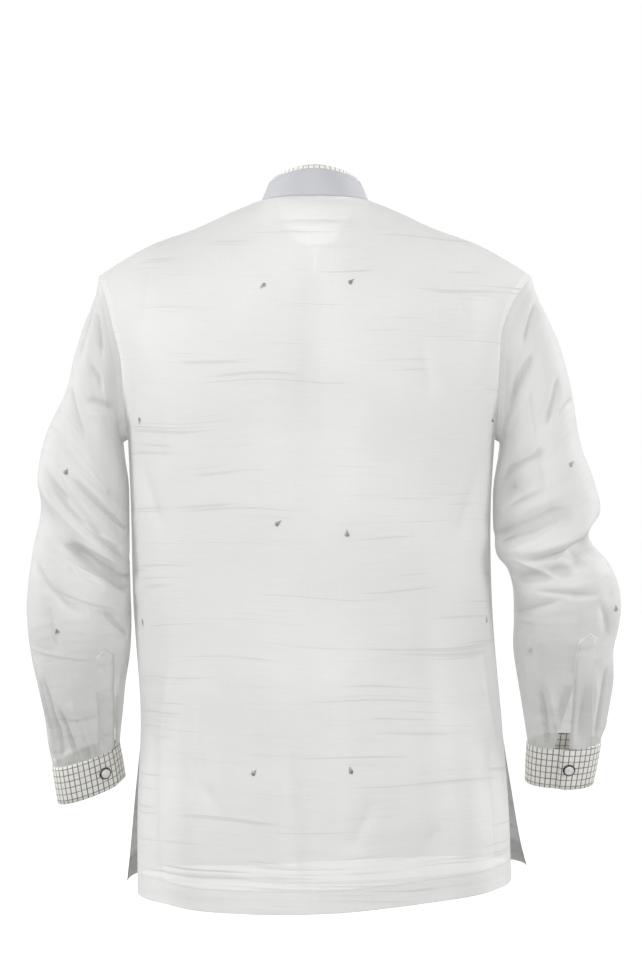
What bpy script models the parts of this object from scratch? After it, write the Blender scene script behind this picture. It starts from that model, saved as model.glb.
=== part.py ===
"""Barong tagalog shirt as worn, hollow, with its back towards +Y and its left side towards +X.

Every cloth piece is a thin wall built on a grid of points. The tables below give the worn form in
millimetres, read from the photograph's back view and from the usual cut of such a shirt. Pieces that
are sewn together share their seam points, pulled apart by SEAM_GAP.
"""

import math

import bpy
import numpy as np

MM = 0.001
CLOTH = 1.2
SEAM_GAP = 0.3
BAND = 1.0
HEM_DEPTH = 25.0
PLACKET_HALF = 16.0
UNDERLAP_REACH = 24.0
CUFF_WALL = 2.0
CUFF_LAP = 24.0
COLLAR_WALL = 1.4
COLLAR_RISE = 3.0
SLEEVE_PLACKET_WIDTH = 22.0
UNDERLAP_WIDTH = 9.0
SLIT_WIDTH = 3.0
CUFF_BUTTON_RADIUS = 7.4
FRONT_BUTTON_RADIUS = 5.5

HEM_Z = -733.0
UNDERARM_Z = -234.0
NECK_SHARE = 0.34375
ROUNDNESS = 2.35
ARMHOLE_ROWS = 11
ACROSS = 32
ROWS_BELOW = 9

# columns: height, left x, right x, back depth, front depth
BODY_SECTIONS = (
    (-733, 196, -217, 148, -150),
    (-634, 196, -214, 148, -149),
    (-545, 193, -207, 146, -147),
    (-412, 201, -196, 141, -146),
    (-301, 204, -195, 137, -144),
    (-234, 207, -199, 131, -138),
)
SLIT_TOP_Z = -545.0
# how the free corners of the side slits stand at the hem: left x, left y, right x, right y, added
BACK_FLARE = (0.0, 6.0, 0.0, 6.0)
FRONT_FLARE = (15.0, -26.0, -21.0, -30.0)
# columns: share across from left to right, hem height above HEM_Z
HEM_RISE = (
    (0.0, 0), (0.1, 2), (0.17, 2.5), (0.27, -1), (0.5, 1), (0.65, 7), (0.8, 13), (1.0, 17),
)
FRONT_HEM_LIFT = 5.0
# columns: x, y, z along the shoulder seam from the neck to the tip
SHOULDER = ((60, 4, 30), (72, 3, 26), (128, 0, 1), (183, -3, -19), (216, -4, -37), (240, -5, -52))
# columns: height share from underarm to tip, left x, right x, half depth
ARMHOLE = (
    (0.0, 207.0, -199.0, 0.0),
    (0.25, 209.0, -200.0, 47.0),
    (0.5, 212.5, -201.5, 54.0),
    (0.66, 220.0, -205.0, 51.0),
    (0.85, 229.0, -220.0, 38.0),
    (1.0, 240.0, -240.0, 0.0),
)
NECK_BACK = (64.0, 29.0)
NECK_FRONT = (-72.0, -45.0)

# soft folds of the torso, columns: start share across, start height, end share across, end height,
# half width, depth outwards
BACK_FOLDS = (
    (0.50, -40, 0.49, -240, 22, -5),
    (0.36, -70, 0.42, -330, 26, 4),
    (0.66, -90, 0.60, -300, 24, 4),
    (0.20, -330, 0.24, -733, 30, 5),
    (0.34, -480, 0.36, -733, 30, -6),
    (0.53, -430, 0.56, -733, 32, 5),
    (0.70, -400, 0.69, -733, 28, -6),
    (0.80, -330, 0.80, -733, 26, 4),
)
FRONT_FOLDS = (
    (0.22, -150, 0.20, -733, 30, 5),
    (0.34, -330, 0.37, -733, 30, -6),
    (0.67, -330, 0.64, -733, 30, -6),
    (0.80, -200, 0.81, -733, 28, 5),
)

# Rings of each sleeve from armhole to cuff. columns: place, outer x, outer z, inner x, inner z,
# middle y, half depth, tilt in degrees with the back lower
LEFT_RINGS = (
    (0.00, 240, -52, 207, -234, -2, 54, 0),
    (0.05, 243, -73, 213, -239, 0, 56, 0),
    (0.11, 254, -101, 211, -256, 2, 58, 0),
    (0.18, 265, -135, 206.8, -281, 4, 58, 0),
    (0.26, 275, -180, 205.6, -303, 7, 58, 1),
    (0.34, 296, -226, 204.9, -325, 11, 58, 2),
    (0.43, 305, -275, 204.2, -350, 17, 57, 3),
    (0.50, 301, -310, 203.6, -372, 22, 56, 4),
    (0.58, 311, -361, 202.8, -402, 22, 56, 6),
    (0.68, 318, -423, 202.5, -440, 12, 57, 9),
    (0.77, 315, -476, 206, -476, -6, 55, 12),
    (0.84, 309, -512, 212, -508, -21, 52, 12),
    (0.90, 304, -546, 215.5, -534, -36, 47, 11),
    (0.95, 302, -575, 219, -557, -48, 42, 9),
    (1.00, 298, -602.8, 221.8, -577.8, -60, 36, 8),
)
RIGHT_RINGS = (
    (0.00, -240, -52, -199, -234, -2, 54, 0),
    (0.05, -246, -73, -205, -239, 0, 56, 0),
    (0.11, -258, -100, -203, -256, 2, 58, 0),
    (0.17, -270, -128, -198.4, -281, 4, 59, 0),
    (0.25, -283, -177, -196.8, -308, 8, 60, 2),
    (0.34, -293, -238, -196.7, -330, 14, 60, 3),
    (0.42, -308, -283, -197.0, -348, 22, 58, 4),
    (0.47, -313, -310, -200, -362, 28, 57, 5),
    (0.53, -300, -340, -210, -375, 32, 56, 7),
    (0.59, -322, -369, -216, -392, 30, 57, 9),
    (0.66, -336, -400, -219, -414, 18, 58, 11),
    (0.72, -338, -430, -220, -440, 4, 57, 12),
    (0.79, -333, -466, -221, -468, -14, 54, 12),
    (0.87, -332, -509, -229, -509, -40, 49, 12),
    (0.93, -330, -540, -236, -543, -60, 43, 10),
    (1.00, -327.0, -577.5, -243.0, -579.0, -80, 37, 8),
)
# the largest folds of each sleeve, columns: start angle, start place, end angle, end place,
# half width, depth outwards. Angle 0 is the outer side, 90 the back and 180 the inner side.
LEFT_FOLDS = (
    (55, 0.36, 170, 0.46, 17, 6),
    (25, 0.42, 175, 0.53, 17, 6),
    (40, 0.40, 170, 0.49, 13, -5),
    (80, 0.52, 175, 0.57, 16, -9),
    (110, 0.56, 178, 0.60, 14, 5),
    (20, 0.08, 28, 0.19, 15, -5),
    (40, 0.90, 70, 0.97, 15, -5),
    (178, 0.68, 150, 0.88, 14, 4),
    (200, 0.45, 300, 0.56, 18, -8),
    (190, 0.55, 320, 0.66, 18, 6),
    (230, 0.74, 300, 0.92, 16, -5),
)
RIGHT_FOLDS = (
    (150, 0.16, 100, 0.34, 18, -5),
    (175, 0.26, 60, 0.40, 17, 5),
    (170, 0.36, 70, 0.44, 15, -6),
    (150, 0.46, 40, 0.50, 18, 9),
    (10, 0.53, 70, 0.55, 16, -12),
    (160, 0.56, 60, 0.57, 15, -8),
    (30, 0.62, 50, 0.78, 17, -5),
    (190, 0.38, 300, 0.50, 18, -8),
    (200, 0.52, 330, 0.58, 18, 7),
    (250, 0.74, 320, 0.92, 16, -5),
)
# twist of the columns so that one of them follows the cuff slit, columns: place, degrees
LEFT_TWIST = ((0.0, 0), (0.5, -2), (0.72, -3.5), (1.0, 10))
RIGHT_TWIST = ((0.0, 0), (0.5, -3), (0.72, -6.5), (1.0, -2))
LEFT_SLIT_ANGLE = 8.5 * 180 / ARMHOLE_ROWS
RIGHT_SLIT_ANGLE = 5.5 * 180 / ARMHOLE_ROWS
# how far each slit gapes at the cuff, in degrees, and where slits and their bands begin
LEFT_SLIT_GAPE = 8.0
RIGHT_SLIT_GAPE = 21.0
SLIT_START = 0.84
LEFT_BAND_START = 0.72
RIGHT_BAND_START = 0.722
SLEEVE_PLACES = (
    0.0, 0.035, 0.07, 0.11, 0.15, 0.19, 0.23, 0.27, 0.31, 0.345, 0.38, 0.415, 0.445, 0.475, 0.505,
    0.535, 0.565, 0.6, 0.635, 0.67, 0.71, 0.75, 0.8, 0.84, 0.88, 0.92, 0.96, 1.0,
)

# the two ends of each cuff, columns: outer x, outer z, inner x, inner z, middle y, half depth, tilt
LEFT_CUFF_TOP = (298, -602.8, 221.8, -577.8, -60, 36, 8)
LEFT_CUFF_FOOT = (293.4, -645.5, 216.3, -618, -76, 36, 8)
RIGHT_CUFF_TOP = (-327.0, -577.5, -243.0, -579.0, -80, 37, 8)
RIGHT_CUFF_FOOT = (-320.0, -626, -242.5, -624.5, -98, 37, 8)
# angles of each cuff's outer edge and of its button
LEFT_CUFF_EDGE = 148.0
LEFT_CUFF_BUTTON = 120.0
RIGHT_CUFF_EDGE = 98.5
RIGHT_CUFF_BUTTON = 84.0
CUFF_COLUMNS = 44

# columns: share round the neck from front centre by the left side, collar height, lean inwards
COLLAR_TABLE = (
    (0.0, 27, 3), (0.15, 25, 6), (0.3, 21, 9.5), (0.5, 30, 5.5), (0.7, 21, 9.5), (0.85, 25, 6),
    (1.0, 27, 3),
)
FRONT_BUTTONS = (-75, -180, -285, -390, -495, -600)

COLOURS = {
    "cloth": (0.86, 0.86, 0.84), "collar": (0.55, 0.57, 0.6), "check": (0.8, 0.79, 0.74),
    "pearl": (0.78, 0.78, 0.76),
}


def smooth(table, at):
    """Rows of a table at the given places, on a smooth curve through its rows."""
    rows = np.asarray(table, float)
    keys = rows[:, 0]
    values = rows[:, 1:]
    slopes = np.gradient(values, keys, axis=0)
    at = np.clip(np.asarray(at, float), keys[0], keys[-1])
    low = np.clip(np.searchsorted(keys, at, side="right") - 1, 0, len(keys) - 2)
    step = (keys[low + 1] - keys[low])[..., None]
    f = (at[..., None] - keys[low][..., None]) / step
    first = (2 * f**3 - 3 * f**2 + 1) * values[low] + (f**3 - 2 * f**2 + f) * step * slopes[low]
    second = (3 * f**2 - 2 * f**3) * values[low + 1] + (f**3 - f**2) * step * slopes[low + 1]
    return first + second


def power(value, exponent):
    """A signed power, which rounds a circle towards a rectangle."""
    return np.sign(value) * np.abs(value) ** exponent


def even_angles():
    """Angles of the underarm section at even shares of its length."""
    angle = np.linspace(0, math.pi, 721)
    x = 203 * power(np.cos(angle), 2 / ROUNDNESS)
    y = 133 * np.abs(np.sin(angle)) ** (2 / ROUNDNESS)
    length = np.concatenate(([0], np.cumsum(np.hypot(np.diff(x), np.diff(y)))))
    return length / length[-1], angle


EVEN_SHARE, EVEN_ANGLE = even_angles()


def lower_torso(front, u, z):
    """Points of the torso below the underarm, u from 0 on the left to 1 on the right."""
    angle = np.interp(u, EVEN_SHARE, EVEN_ANGLE)
    left, right, back_depth, front_depth = np.moveaxis(smooth(BODY_SECTIONS, z), -1, 0)
    depth = front_depth if front else back_depth
    open_share = np.clip((SLIT_TOP_Z - z) / (SLIT_TOP_Z - HEM_Z), 0, 1) ** 1.5
    left_out, left_y, right_out, right_y = FRONT_FLARE if front else BACK_FLARE
    left = left + left_out * open_share
    right = right + right_out * open_share
    edge_y = (left_y + (right_y - left_y) * u) * open_share
    x = (left + right) / 2 + (left - right) / 2 * power(np.cos(angle), 2 / ROUNDNESS)
    y = edge_y + (depth - edge_y) * np.abs(np.sin(angle)) ** (2 / ROUNDNESS)
    share = np.clip((z - HEM_Z) / 100, 0, 1)
    rise = smooth(HEM_RISE, u)[..., 0] + (FRONT_HEM_LIFT if front else 0)
    return np.stack((x, y, z + rise * (1 - share) ** 2), -1)


def neckline(u, front):
    """Points of the neck edge, u from 0 on the left to 1 on the right."""
    angle = math.pi * u
    depth, low = NECK_FRONT if front else NECK_BACK
    side_x, side_y, side_z = SHOULDER[0]
    reach = np.sin(angle)
    x = side_x * np.cos(angle)
    y = side_y + (depth - side_y) * reach
    z = side_z + (low - side_z) * (reach**1.5 if front else reach)
    return np.stack((x, y, z), -1)


def top_edge(u, front):
    """Points of the top edge: shoulder seam, neck, shoulder seam."""
    seam = np.asarray(SHOULDER, float)
    along = np.concatenate(([0], np.cumsum(np.linalg.norm(np.diff(seam, axis=0), axis=1))))
    table = np.column_stack((along / along[-1], seam))
    mirrored = np.where(u > 0.5, 1 - u, u)
    shoulder = smooth(table, np.clip(1 - mirrored / NECK_SHARE, 0, 1))
    shoulder[..., 0] = np.where(u > 0.5, -shoulder[..., 0], shoulder[..., 0])
    neck = neckline(np.clip((u - NECK_SHARE) / (1 - 2 * NECK_SHARE), 0, 1), front)
    return np.where((mirrored < NECK_SHARE - 1e-9)[..., None], shoulder, neck)


def armhole_edge(v, right, front):
    """Points of an armhole edge from underarm, v 0, to shoulder tip, v 1."""
    turn = np.pi * (np.asarray(v, float) - 0.5)
    share = (1 + np.sin(turn)) / 2
    left_x, right_x, _ = np.moveaxis(smooth(ARMHOLE, share), -1, 0)
    depth = (-57 if front else 54) * np.cos(turn)
    tip = SHOULDER[-1]
    z = UNDERARM_Z + (tip[2] - UNDERARM_Z) * share
    x = np.where(right, right_x, left_x)
    return np.stack((x, depth + tip[1] * share, z), -1)


def upper_torso(front, u, v):
    """Points above the underarm, v from 0 there to 1 at the top edge."""
    foot = lower_torso(front, u, np.full_like(u, UNDERARM_Z))
    top = top_edge(u, front)
    quarter = v * math.pi / 2
    mix = np.stack((v, 1 - np.cos(quarter), np.sin(quarter)), -1)
    point = foot + (top - foot) * mix
    for right in (False, True):
        side = np.full_like(u, 1.0 if right else 0.0)
        foot_side = lower_torso(front, side, np.full_like(u, UNDERARM_Z))
        plain = foot_side + (top_edge(side, front) - foot_side) * mix
        near = np.clip(2 * u - 1 if right else 1 - 2 * u, 0, 1) ** 2.2
        point = point + near[..., None] * (armhole_edge(v, right, front) - plain)
    return point


def ridge(across, along, start, end, half_width):
    """How near points of the cloth lie to a straight fold line: 1 on it, falling to 0 away from it."""
    line = np.subtract(end, start)
    share = ((across - start[0]) * line[0] + (along - start[1]) * line[1]) / float(line @ line)
    inside = np.clip(share, 0, 1)
    off = np.hypot(across - start[0] - inside * line[0], along - start[1] - inside * line[1])
    fade = np.clip(np.minimum(share + 0.15, 1.15 - share) / 0.4, 0, 1)
    return np.exp(-((off / half_width) ** 2)) * fade * fade * (3 - 2 * fade)


def torso(front, u, q):
    """Points of one face of the torso. q runs 0 to 1 from hem to underarm and 1 to 2 above it."""
    u, q = np.broadcast_arrays(np.asarray(u, float), np.asarray(q, float))
    low = lower_torso(front, u, HEM_Z + (UNDERARM_Z - HEM_Z) * np.clip(q, 0, 1))
    high = upper_torso(front, u, np.clip(q - 1, 0, 1))
    point = np.where((q > 1)[..., None], high, low)
    span = 560.0
    push = np.zeros_like(u)
    for a, za, b, zb, half_width, depth in FRONT_FOLDS if front else BACK_FOLDS:
        near = ridge(u * span, point[..., 2], (a * span, za), (b * span, zb), half_width)
        push = push + depth * near * np.clip(np.minimum(u, 1 - u) / 0.12, 0, 1)
    push = push * np.clip((2 - q) / 0.3, 0, 1)
    angle = np.interp(u, EVEN_SHARE, EVEN_ANGLE)
    away = np.stack((np.cos(angle), np.sin(angle) * (-1 if front else 1), np.zeros_like(u)), -1)
    return point + push[..., None] * away


def ring_point(row, angle):
    """A point of an oval ring with its outer and inner ends, depth and tilt."""
    outer_x, outer_z, inner_x, inner_z, middle_y, depth, tilt = np.moveaxis(np.asarray(row), -1, 0)
    c = power(np.cos(angle), 0.94)
    s = power(np.sin(angle), 0.94)
    lean = np.radians(tilt)
    x = (outer_x + inner_x) / 2 + c * (outer_x - inner_x) / 2
    y = middle_y + s * depth * np.cos(lean)
    z = (outer_z + inner_z) / 2 + c * (outer_z - inner_z) / 2 - s * depth * np.sin(lean)
    return np.stack((x, y, z), -1)


def armhole_loop(right):
    """Seam points round an armhole, from the tip by the back to the underarm and up the front."""
    down = np.linspace(1, 0, ARMHOLE_ROWS + 1)
    back = armhole_edge(down, right, False)
    front = armhole_edge(down[::-1], right, True)
    return np.concatenate((back, front[1:]))


def slit_share(place):
    """0 above a cuff slit, rising to 1 at the cuff."""
    return np.clip((place - SLIT_START) / (1 - SLIT_START), 0, 1)


def sleeve(right, base, place):
    """Points of a sleeve. base is an angle in degrees that stays in one column."""
    base, place = np.broadcast_arrays(np.asarray(base, float), np.asarray(place, float))
    rings = RIGHT_RINGS if right else LEFT_RINGS
    slit = RIGHT_SLIT_ANGLE if right else LEFT_SLIT_ANGLE
    gape = (RIGHT_SLIT_GAPE if right else LEFT_SLIT_GAPE) * slit_share(place) ** 1.2
    twist = smooth(RIGHT_TWIST if right else LEFT_TWIST, place)[..., 0]
    twist = twist + gape * np.clip(1 - ((base - slit) % 360) / 75, 0, 1)
    angle = np.radians(base + twist)
    point = ring_point(smooth(rings, place), angle)
    loop = armhole_loop(right)
    share = (base % 360) / 180 * ARMHOLE_ROWS
    at_loop = np.stack([np.interp(share, np.arange(len(loop)), loop[:, i]) for i in range(3)], -1)
    first = ring_point(smooth(rings, np.zeros_like(place)), np.radians(base))
    hold = np.clip(1 - place / 0.16, 0, 1) ** 2
    point = point + (at_loop - first) * hold[..., None]
    push = np.zeros_like(place)
    degrees = np.degrees(angle) % 360
    for a, sa, b, sb, half_width, depth in RIGHT_FOLDS if right else LEFT_FOLDS:
        near = ridge(degrees * 0.95, place * 600, (a * 0.95, sa * 600), (b * 0.95, sb * 600), half_width)
        push = push + depth * near
    push = push * np.clip(place / 0.08, 0, 1) * np.clip((1 - place) / 0.04, 0, 1)
    side = -1 if right else 1
    away = np.stack((side * np.cos(angle), np.sin(angle), -0.25 * np.sin(angle)), -1)
    inner = np.clip(-np.cos(angle) - 0.55, 0, 0.45) / 0.45
    push = np.where(push > 0, push * (1 - inner), push)
    return point + push[..., None] * away


def normals(grid, outward):
    """Unit normals of a grid by its neighbours. A column that closes on the first is wrapped."""
    closed = np.allclose(grid[:, 0], grid[:, -1])
    wide = np.concatenate((grid[:, -2:-1], grid, grid[:, 1:2]), 1) if closed else grid
    across = np.gradient(wide, axis=1)
    along = np.gradient(wide, axis=0)
    found = np.cross(across, along) * outward
    found = found[:, 1:-1] if closed else found
    return found / np.maximum(np.linalg.norm(found, axis=-1, keepdims=True), 1e-9)


def share_normals(sheets):
    """Gives points that several sheets share one common normal, so that seam edges stay parallel."""
    total = {}
    for grid, normal in sheets:
        for point, way in zip(np.round(grid.reshape(-1, 3), 2), normal.reshape(-1, 3)):
            key = tuple(point + 0.0)
            total[key] = total.get(key, 0) + way
    for grid, normal in sheets:
        flat = normal.reshape(-1, 3)
        for i, point in enumerate(np.round(grid.reshape(-1, 3), 2)):
            way = total[tuple(point + 0.0)]
            size = np.linalg.norm(way)
            if size > 0.2:
                flat[i] = way / size


def pulled(grid, sides, by=SEAM_GAP / 2):
    """The grid with its named sides drawn in along the cloth."""
    out = grid.copy()
    for side in sides:
        if side == "first":
            edge, next_one = out[:, 0], grid[:, 1]
        elif side == "last":
            edge, next_one = out[:, -1], grid[:, -2]
        elif side == "bottom":
            edge, next_one = out[0], grid[1]
        else:
            edge, next_one = out[-1], grid[-2]
        step = next_one - edge
        edge += step / np.linalg.norm(step, axis=-1, keepdims=True) * by
    return out


def material(name, colour, roughness):
    """A plain Principled material."""
    made = bpy.data.materials.new(name)
    made.use_nodes = True
    shader = made.node_tree.nodes["Principled BSDF"]
    shader.inputs["Base Color"].default_value = (*colour, 1)
    shader.inputs["Roughness"].default_value = roughness
    return made


def add_body(name, points, faces, look, roughness=0.7):
    """A mesh object in metres whose faces look outwards."""
    points = np.asarray(points) * MM
    volume = 0.0
    for face in faces:
        for i in range(1, len(face) - 1):
            volume += np.dot(points[face[0]], np.cross(points[face[i]], points[face[i + 1]]))
    if volume < 0:
        faces = [face[::-1] for face in faces]
    mesh = bpy.data.meshes.new(name)
    mesh.from_pydata([tuple(p) for p in points], [], faces)
    mesh.update()
    body = bpy.data.objects.new(name, mesh)
    mesh.materials.append(material(name, COLOURS[look], roughness))
    bpy.context.collection.objects.link(body)
    return body


def wall(name, outer, inner, look, keep=None, closed=False):
    """A closed thin body between two matching grids. keep leaves out grid cells."""
    rows, columns = outer.shape[:2]
    if closed:
        columns -= 1
    index = np.arange(rows * columns).reshape(rows, columns)
    cells = []
    for r in range(rows - 1):
        for c in range(columns if closed else columns - 1):
            if keep is None or keep[r, c]:
                d = (c + 1) % columns
                cells.append((index[r, c], index[r, d], index[r + 1, d], index[r + 1, c]))
    edges = {(cell[i], cell[(i + 1) % 4]) for cell in cells for i in range(4)}
    back = rows * columns
    faces = list(cells)
    faces += [tuple(i + back for i in cell[::-1]) for cell in cells]
    height = outer[:, :columns].reshape(-1, 3) @ np.array((0.3, 1.0, 0.7))
    for a, b in sorted(edges):
        if (b, a) in edges:
            continue
        # the diagonal depends on the place only, so that two edges of one seam are split alike
        if height[a] < height[b]:
            faces += [(b, a, b + back), (a, a + back, b + back)]
        else:
            faces += [(b, a, a + back), (b, a + back, b + back)]
    used = sorted({int(i) for face in faces for i in face})
    place = {old: new for new, old in enumerate(used)}
    flat = np.concatenate((outer[:, :columns].reshape(-1, 3), inner[:, :columns].reshape(-1, 3)))
    return add_body(name, flat[used], [tuple(place[int(i)] for i in face) for face in faces], look)


def disc(name, centre, normal, radius, thick, look="pearl"):
    """A button: a low disc with a raised rim and a shallow dish, its back at the centre point."""
    normal = np.asarray(normal, float) / np.linalg.norm(normal)
    side = np.cross(normal, (0.0, 0.0, 1.0))
    side = side / np.linalg.norm(side)
    other = np.cross(normal, side)
    profile = (
        (radius * 0.9, 0.0), (radius, thick * 0.35), (radius, thick * 0.7), (radius * 0.9, thick),
        (radius * 0.72, thick * 0.72),
    )
    count = 12
    points = [np.asarray(centre, float)]
    for reach, height in profile:
        for i in range(count):
            turn = 2 * math.pi * i / count
            points.append(
                centre + normal * height + reach * (side * math.cos(turn) + other * math.sin(turn))
            )
    points.append(centre + normal * thick * 0.72)
    faces = []
    for i in range(count):
        j = (i + 1) % count
        faces.append((0, 1 + j, 1 + i))
        for k in range(len(profile) - 1):
            low = 1 + k * count
            faces.append((low + i, low + j, low + count + j, low + count + i))
        last = 1 + (len(profile) - 1) * count
        faces.append((last + i, last + j, len(points) - 1))
    return add_body(name, points, faces, look, 0.25)


def torso_levels():
    """Levels of the torso grid, with one at the top of the hem."""
    hem = HEM_DEPTH / (UNDERARM_Z - HEM_Z)
    slit = (SLIT_TOP_Z - HEM_Z) / (UNDERARM_Z - HEM_Z)
    below = np.concatenate(
        ((0, hem / 2), np.linspace(hem, slit, 4), np.linspace(slit, 1, ROWS_BELOW - 4)[1:])
    )
    return np.concatenate((below, np.linspace(1, 2, ARMHOLE_ROWS + 1)[1:]))


def front_share(q, x):
    """The share across the front at which it reaches the given x near the middle, for each level."""
    shares = np.linspace(0.3, 0.7, 81)
    rows = [torso(True, shares, np.full_like(shares, level))[:, 0] for level in q]
    return np.array([np.interp(-x, -row, shares) for row in rows])


def torso_grids():
    """Outer grids of the back and the two fronts."""
    q = torso_levels()
    back = torso(False, np.linspace(0, 1, ACROSS + 1)[None, :], q[:, None])
    half = ACROSS // 2
    left_edge = front_share(q, PLACKET_HALF)
    right_edge = front_share(q, -PLACKET_HALF)
    even = np.linspace(0, 1, half + 1)
    seam = 2 * NECK_SHARE
    neck_column = int(round(seam * half))
    grids = []
    for edge, mirrored in ((left_edge, False), (right_edge, True)):
        reach = edge if not mirrored else 1 - edge
        spread = np.where(
            even[None, :] <= even[neck_column],
            even[None, :] / 2,
            NECK_SHARE
            + (even[None, :] - even[neck_column]) / (1 - even[neck_column]) * (reach[:, None] - NECK_SHARE),
        )
        u = 1 - spread[:, ::-1] if mirrored else spread
        grids.append(torso(True, u, q[:, None]))
    return q, back, grids[0], grids[1]


def sleeve_columns(slit):
    """Base angles of the sleeve grid, with a narrow column at the cuff slit."""
    plain = np.linspace(0, 360, 2 * ARMHOLE_ROWS + 1)
    half = math.degrees(SLIT_WIDTH / 2 / 50)
    return np.sort(np.concatenate((plain, (slit - half, slit + half))))


def build_torso_and_sleeves():
    """Back, fronts, sleeves, hem bands, front placket, collar and cuffs."""
    q, back, left, right = torso_grids()
    places = np.array(SLEEVE_PLACES)
    sleeves = []
    for is_right in (False, True):
        slit = RIGHT_SLIT_ANGLE if is_right else LEFT_SLIT_ANGLE
        base = sleeve_columns(slit)
        sleeves.append((is_right, base, sleeve(is_right, base[None, :], places[:, None])))
    pairs = [(back, normals(back, 1)), (left, normals(left, -1)), (right, normals(right, -1))]
    for is_right, _, grid in sleeves:
        pairs.append((grid, normals(grid, 1 if is_right else -1)))
    share_normals(pairs)
    for name, (grid, normal) in zip(("back", "front_left", "front_right"), pairs):
        outer = pulled(grid, ("first", "last", "top"))
        wall(name, outer, outer - normal * CLOTH, "cloth")
        hem = (outer - normal * (CLOTH + SEAM_GAP))[:3]
        wall("hem_" + name, hem, hem - normal[:3] * BAND, "cloth")
    for (is_right, base, grid), (_, normal) in zip(sleeves, pairs[3:]):
        slit = RIGHT_SLIT_ANGLE if is_right else LEFT_SLIT_ANGLE
        outer = pulled(grid, ("bottom",))
        outer = pulled(outer, ("top",), SEAM_GAP)
        keep = np.ones((len(places) - 1, len(base) - 1), bool)
        column = int(np.searchsorted(base, slit)) - 1
        keep[places[:-1] >= SLIT_START - 1e-9, column] = False
        name = "sleeve_right" if is_right else "sleeve_left"
        wall(name, outer, outer - normal * CLOTH, "cloth", keep, closed=True)
        build_sleeve_placket(is_right, outer, normal, base)
        build_cuff(is_right)
    build_front_placket(q)
    build_collar(back, left, right)


def build_front_placket(q):
    """The two placket bands of the front opening and their buttons."""
    over_x = (PLACKET_HALF - SEAM_GAP, 0.0, SEAM_GAP - PLACKET_HALF)
    under_x = (PLACKET_HALF - 3, 0.0, -PLACKET_HALF, -UNDERLAP_REACH)
    over_u = np.column_stack([front_share(q, x) for x in over_x])
    over = torso(True, over_u, q[:, None])
    over_normal = normals(over, -1)
    over = pulled(over, ("top",))
    wall("placket_over", over, over - over_normal * CLOTH, "cloth")
    under_u = np.column_stack([front_share(q, x) for x in under_x])
    under = torso(True, under_u, q[:, None])
    under_normal = normals(under, -1)
    under = pulled(under, ("top",), 1.0)
    drop = CLOTH + SEAM_GAP + 0.15
    gap_rows = np.ones(len(q), bool)
    gap_rows[:2] = False
    under = pulled((under - under_normal * drop)[gap_rows], ("bottom",), 0.6)
    wall("placket_under", under, under - under_normal[gap_rows] * BAND, "cloth")
    for number, height in enumerate(FRONT_BUTTONS, 1):
        row = int(np.searchsorted(over[:, 1, 2], height)) - 1
        low, high = over[row, 1], over[row + 1, 1]
        centre = low + (high - low) * (height - low[2]) / (high[2] - low[2])
        normal = np.cross(high - low, (-1.0, 0.0, 0.0))
        normal = normal / np.linalg.norm(normal)
        seat = centre + normal * (SEAM_GAP + 0.1)
        disc(f"button_front_{number}", seat, normal, FRONT_BUTTON_RADIUS, 2.2)


def cuff_path(edge):
    """Base angles and inward offsets of a cuff that starts at its outer edge and laps under itself."""
    turn = np.linspace(0, 360 + CUFF_LAP, CUFF_COLUMNS)
    drop = smooth(((0, 0), (300, 0), (345, 1), (360 + CUFF_LAP, 1)), turn)[..., 0]
    return edge - turn, np.clip(drop, 0, 1) * (CUFF_WALL + SEAM_GAP + 0.1)


def build_cuff(right):
    """One cuff with its button."""
    top = RIGHT_CUFF_TOP if right else LEFT_CUFF_TOP
    foot = RIGHT_CUFF_FOOT if right else LEFT_CUFF_FOOT
    name = "right" if right else "left"
    angle, drop = cuff_path(RIGHT_CUFF_EDGE if right else LEFT_CUFF_EDGE)
    rows = []
    for share in (0.0, 0.5, 1.0):
        row = np.asarray(top, float) * (1 - share) + np.asarray(foot, float) * share
        rows.append(ring_point(np.broadcast_to(row, (len(angle), 7)), np.radians(angle)))
    grid = np.stack(rows)
    normal = normals(grid, -1 if right else 1)
    grid = grid + normal * (CUFF_WALL / 2 - drop)[None, :, None]
    wall("cuff_" + name, grid, grid - normal * CUFF_WALL, "check")
    column = int(np.argmin(np.abs(angle - (RIGHT_CUFF_BUTTON if right else LEFT_CUFF_BUTTON))))
    disc(
        "button_cuff_" + name, grid[1, column] + normal[1, column] * SEAM_GAP, normal[1, column],
        CUFF_BUTTON_RADIUS, 2.6,
    )


def between(grid, base, at_base, at_place):
    """Values of a sleeve grid between its columns and rows, so that points stay on its flat faces."""
    rows = np.interp(at_place, SLEEVE_PLACES, np.arange(len(SLEEVE_PLACES)))
    columns = np.interp(at_base, base, np.arange(len(base)))
    r = np.clip(np.floor(rows).astype(int), 0, grid.shape[0] - 2)
    c = np.clip(np.floor(columns).astype(int), 0, grid.shape[1] - 2)
    fr = (rows - r)[..., None]
    fc = (columns - c)[..., None]
    low = grid[r, c] * (1 - fc) + grid[r, c + 1] * fc
    high = grid[r + 1, c] * (1 - fc) + grid[r + 1, c + 1] * fc
    return low * (1 - fr) + high * fr


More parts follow.
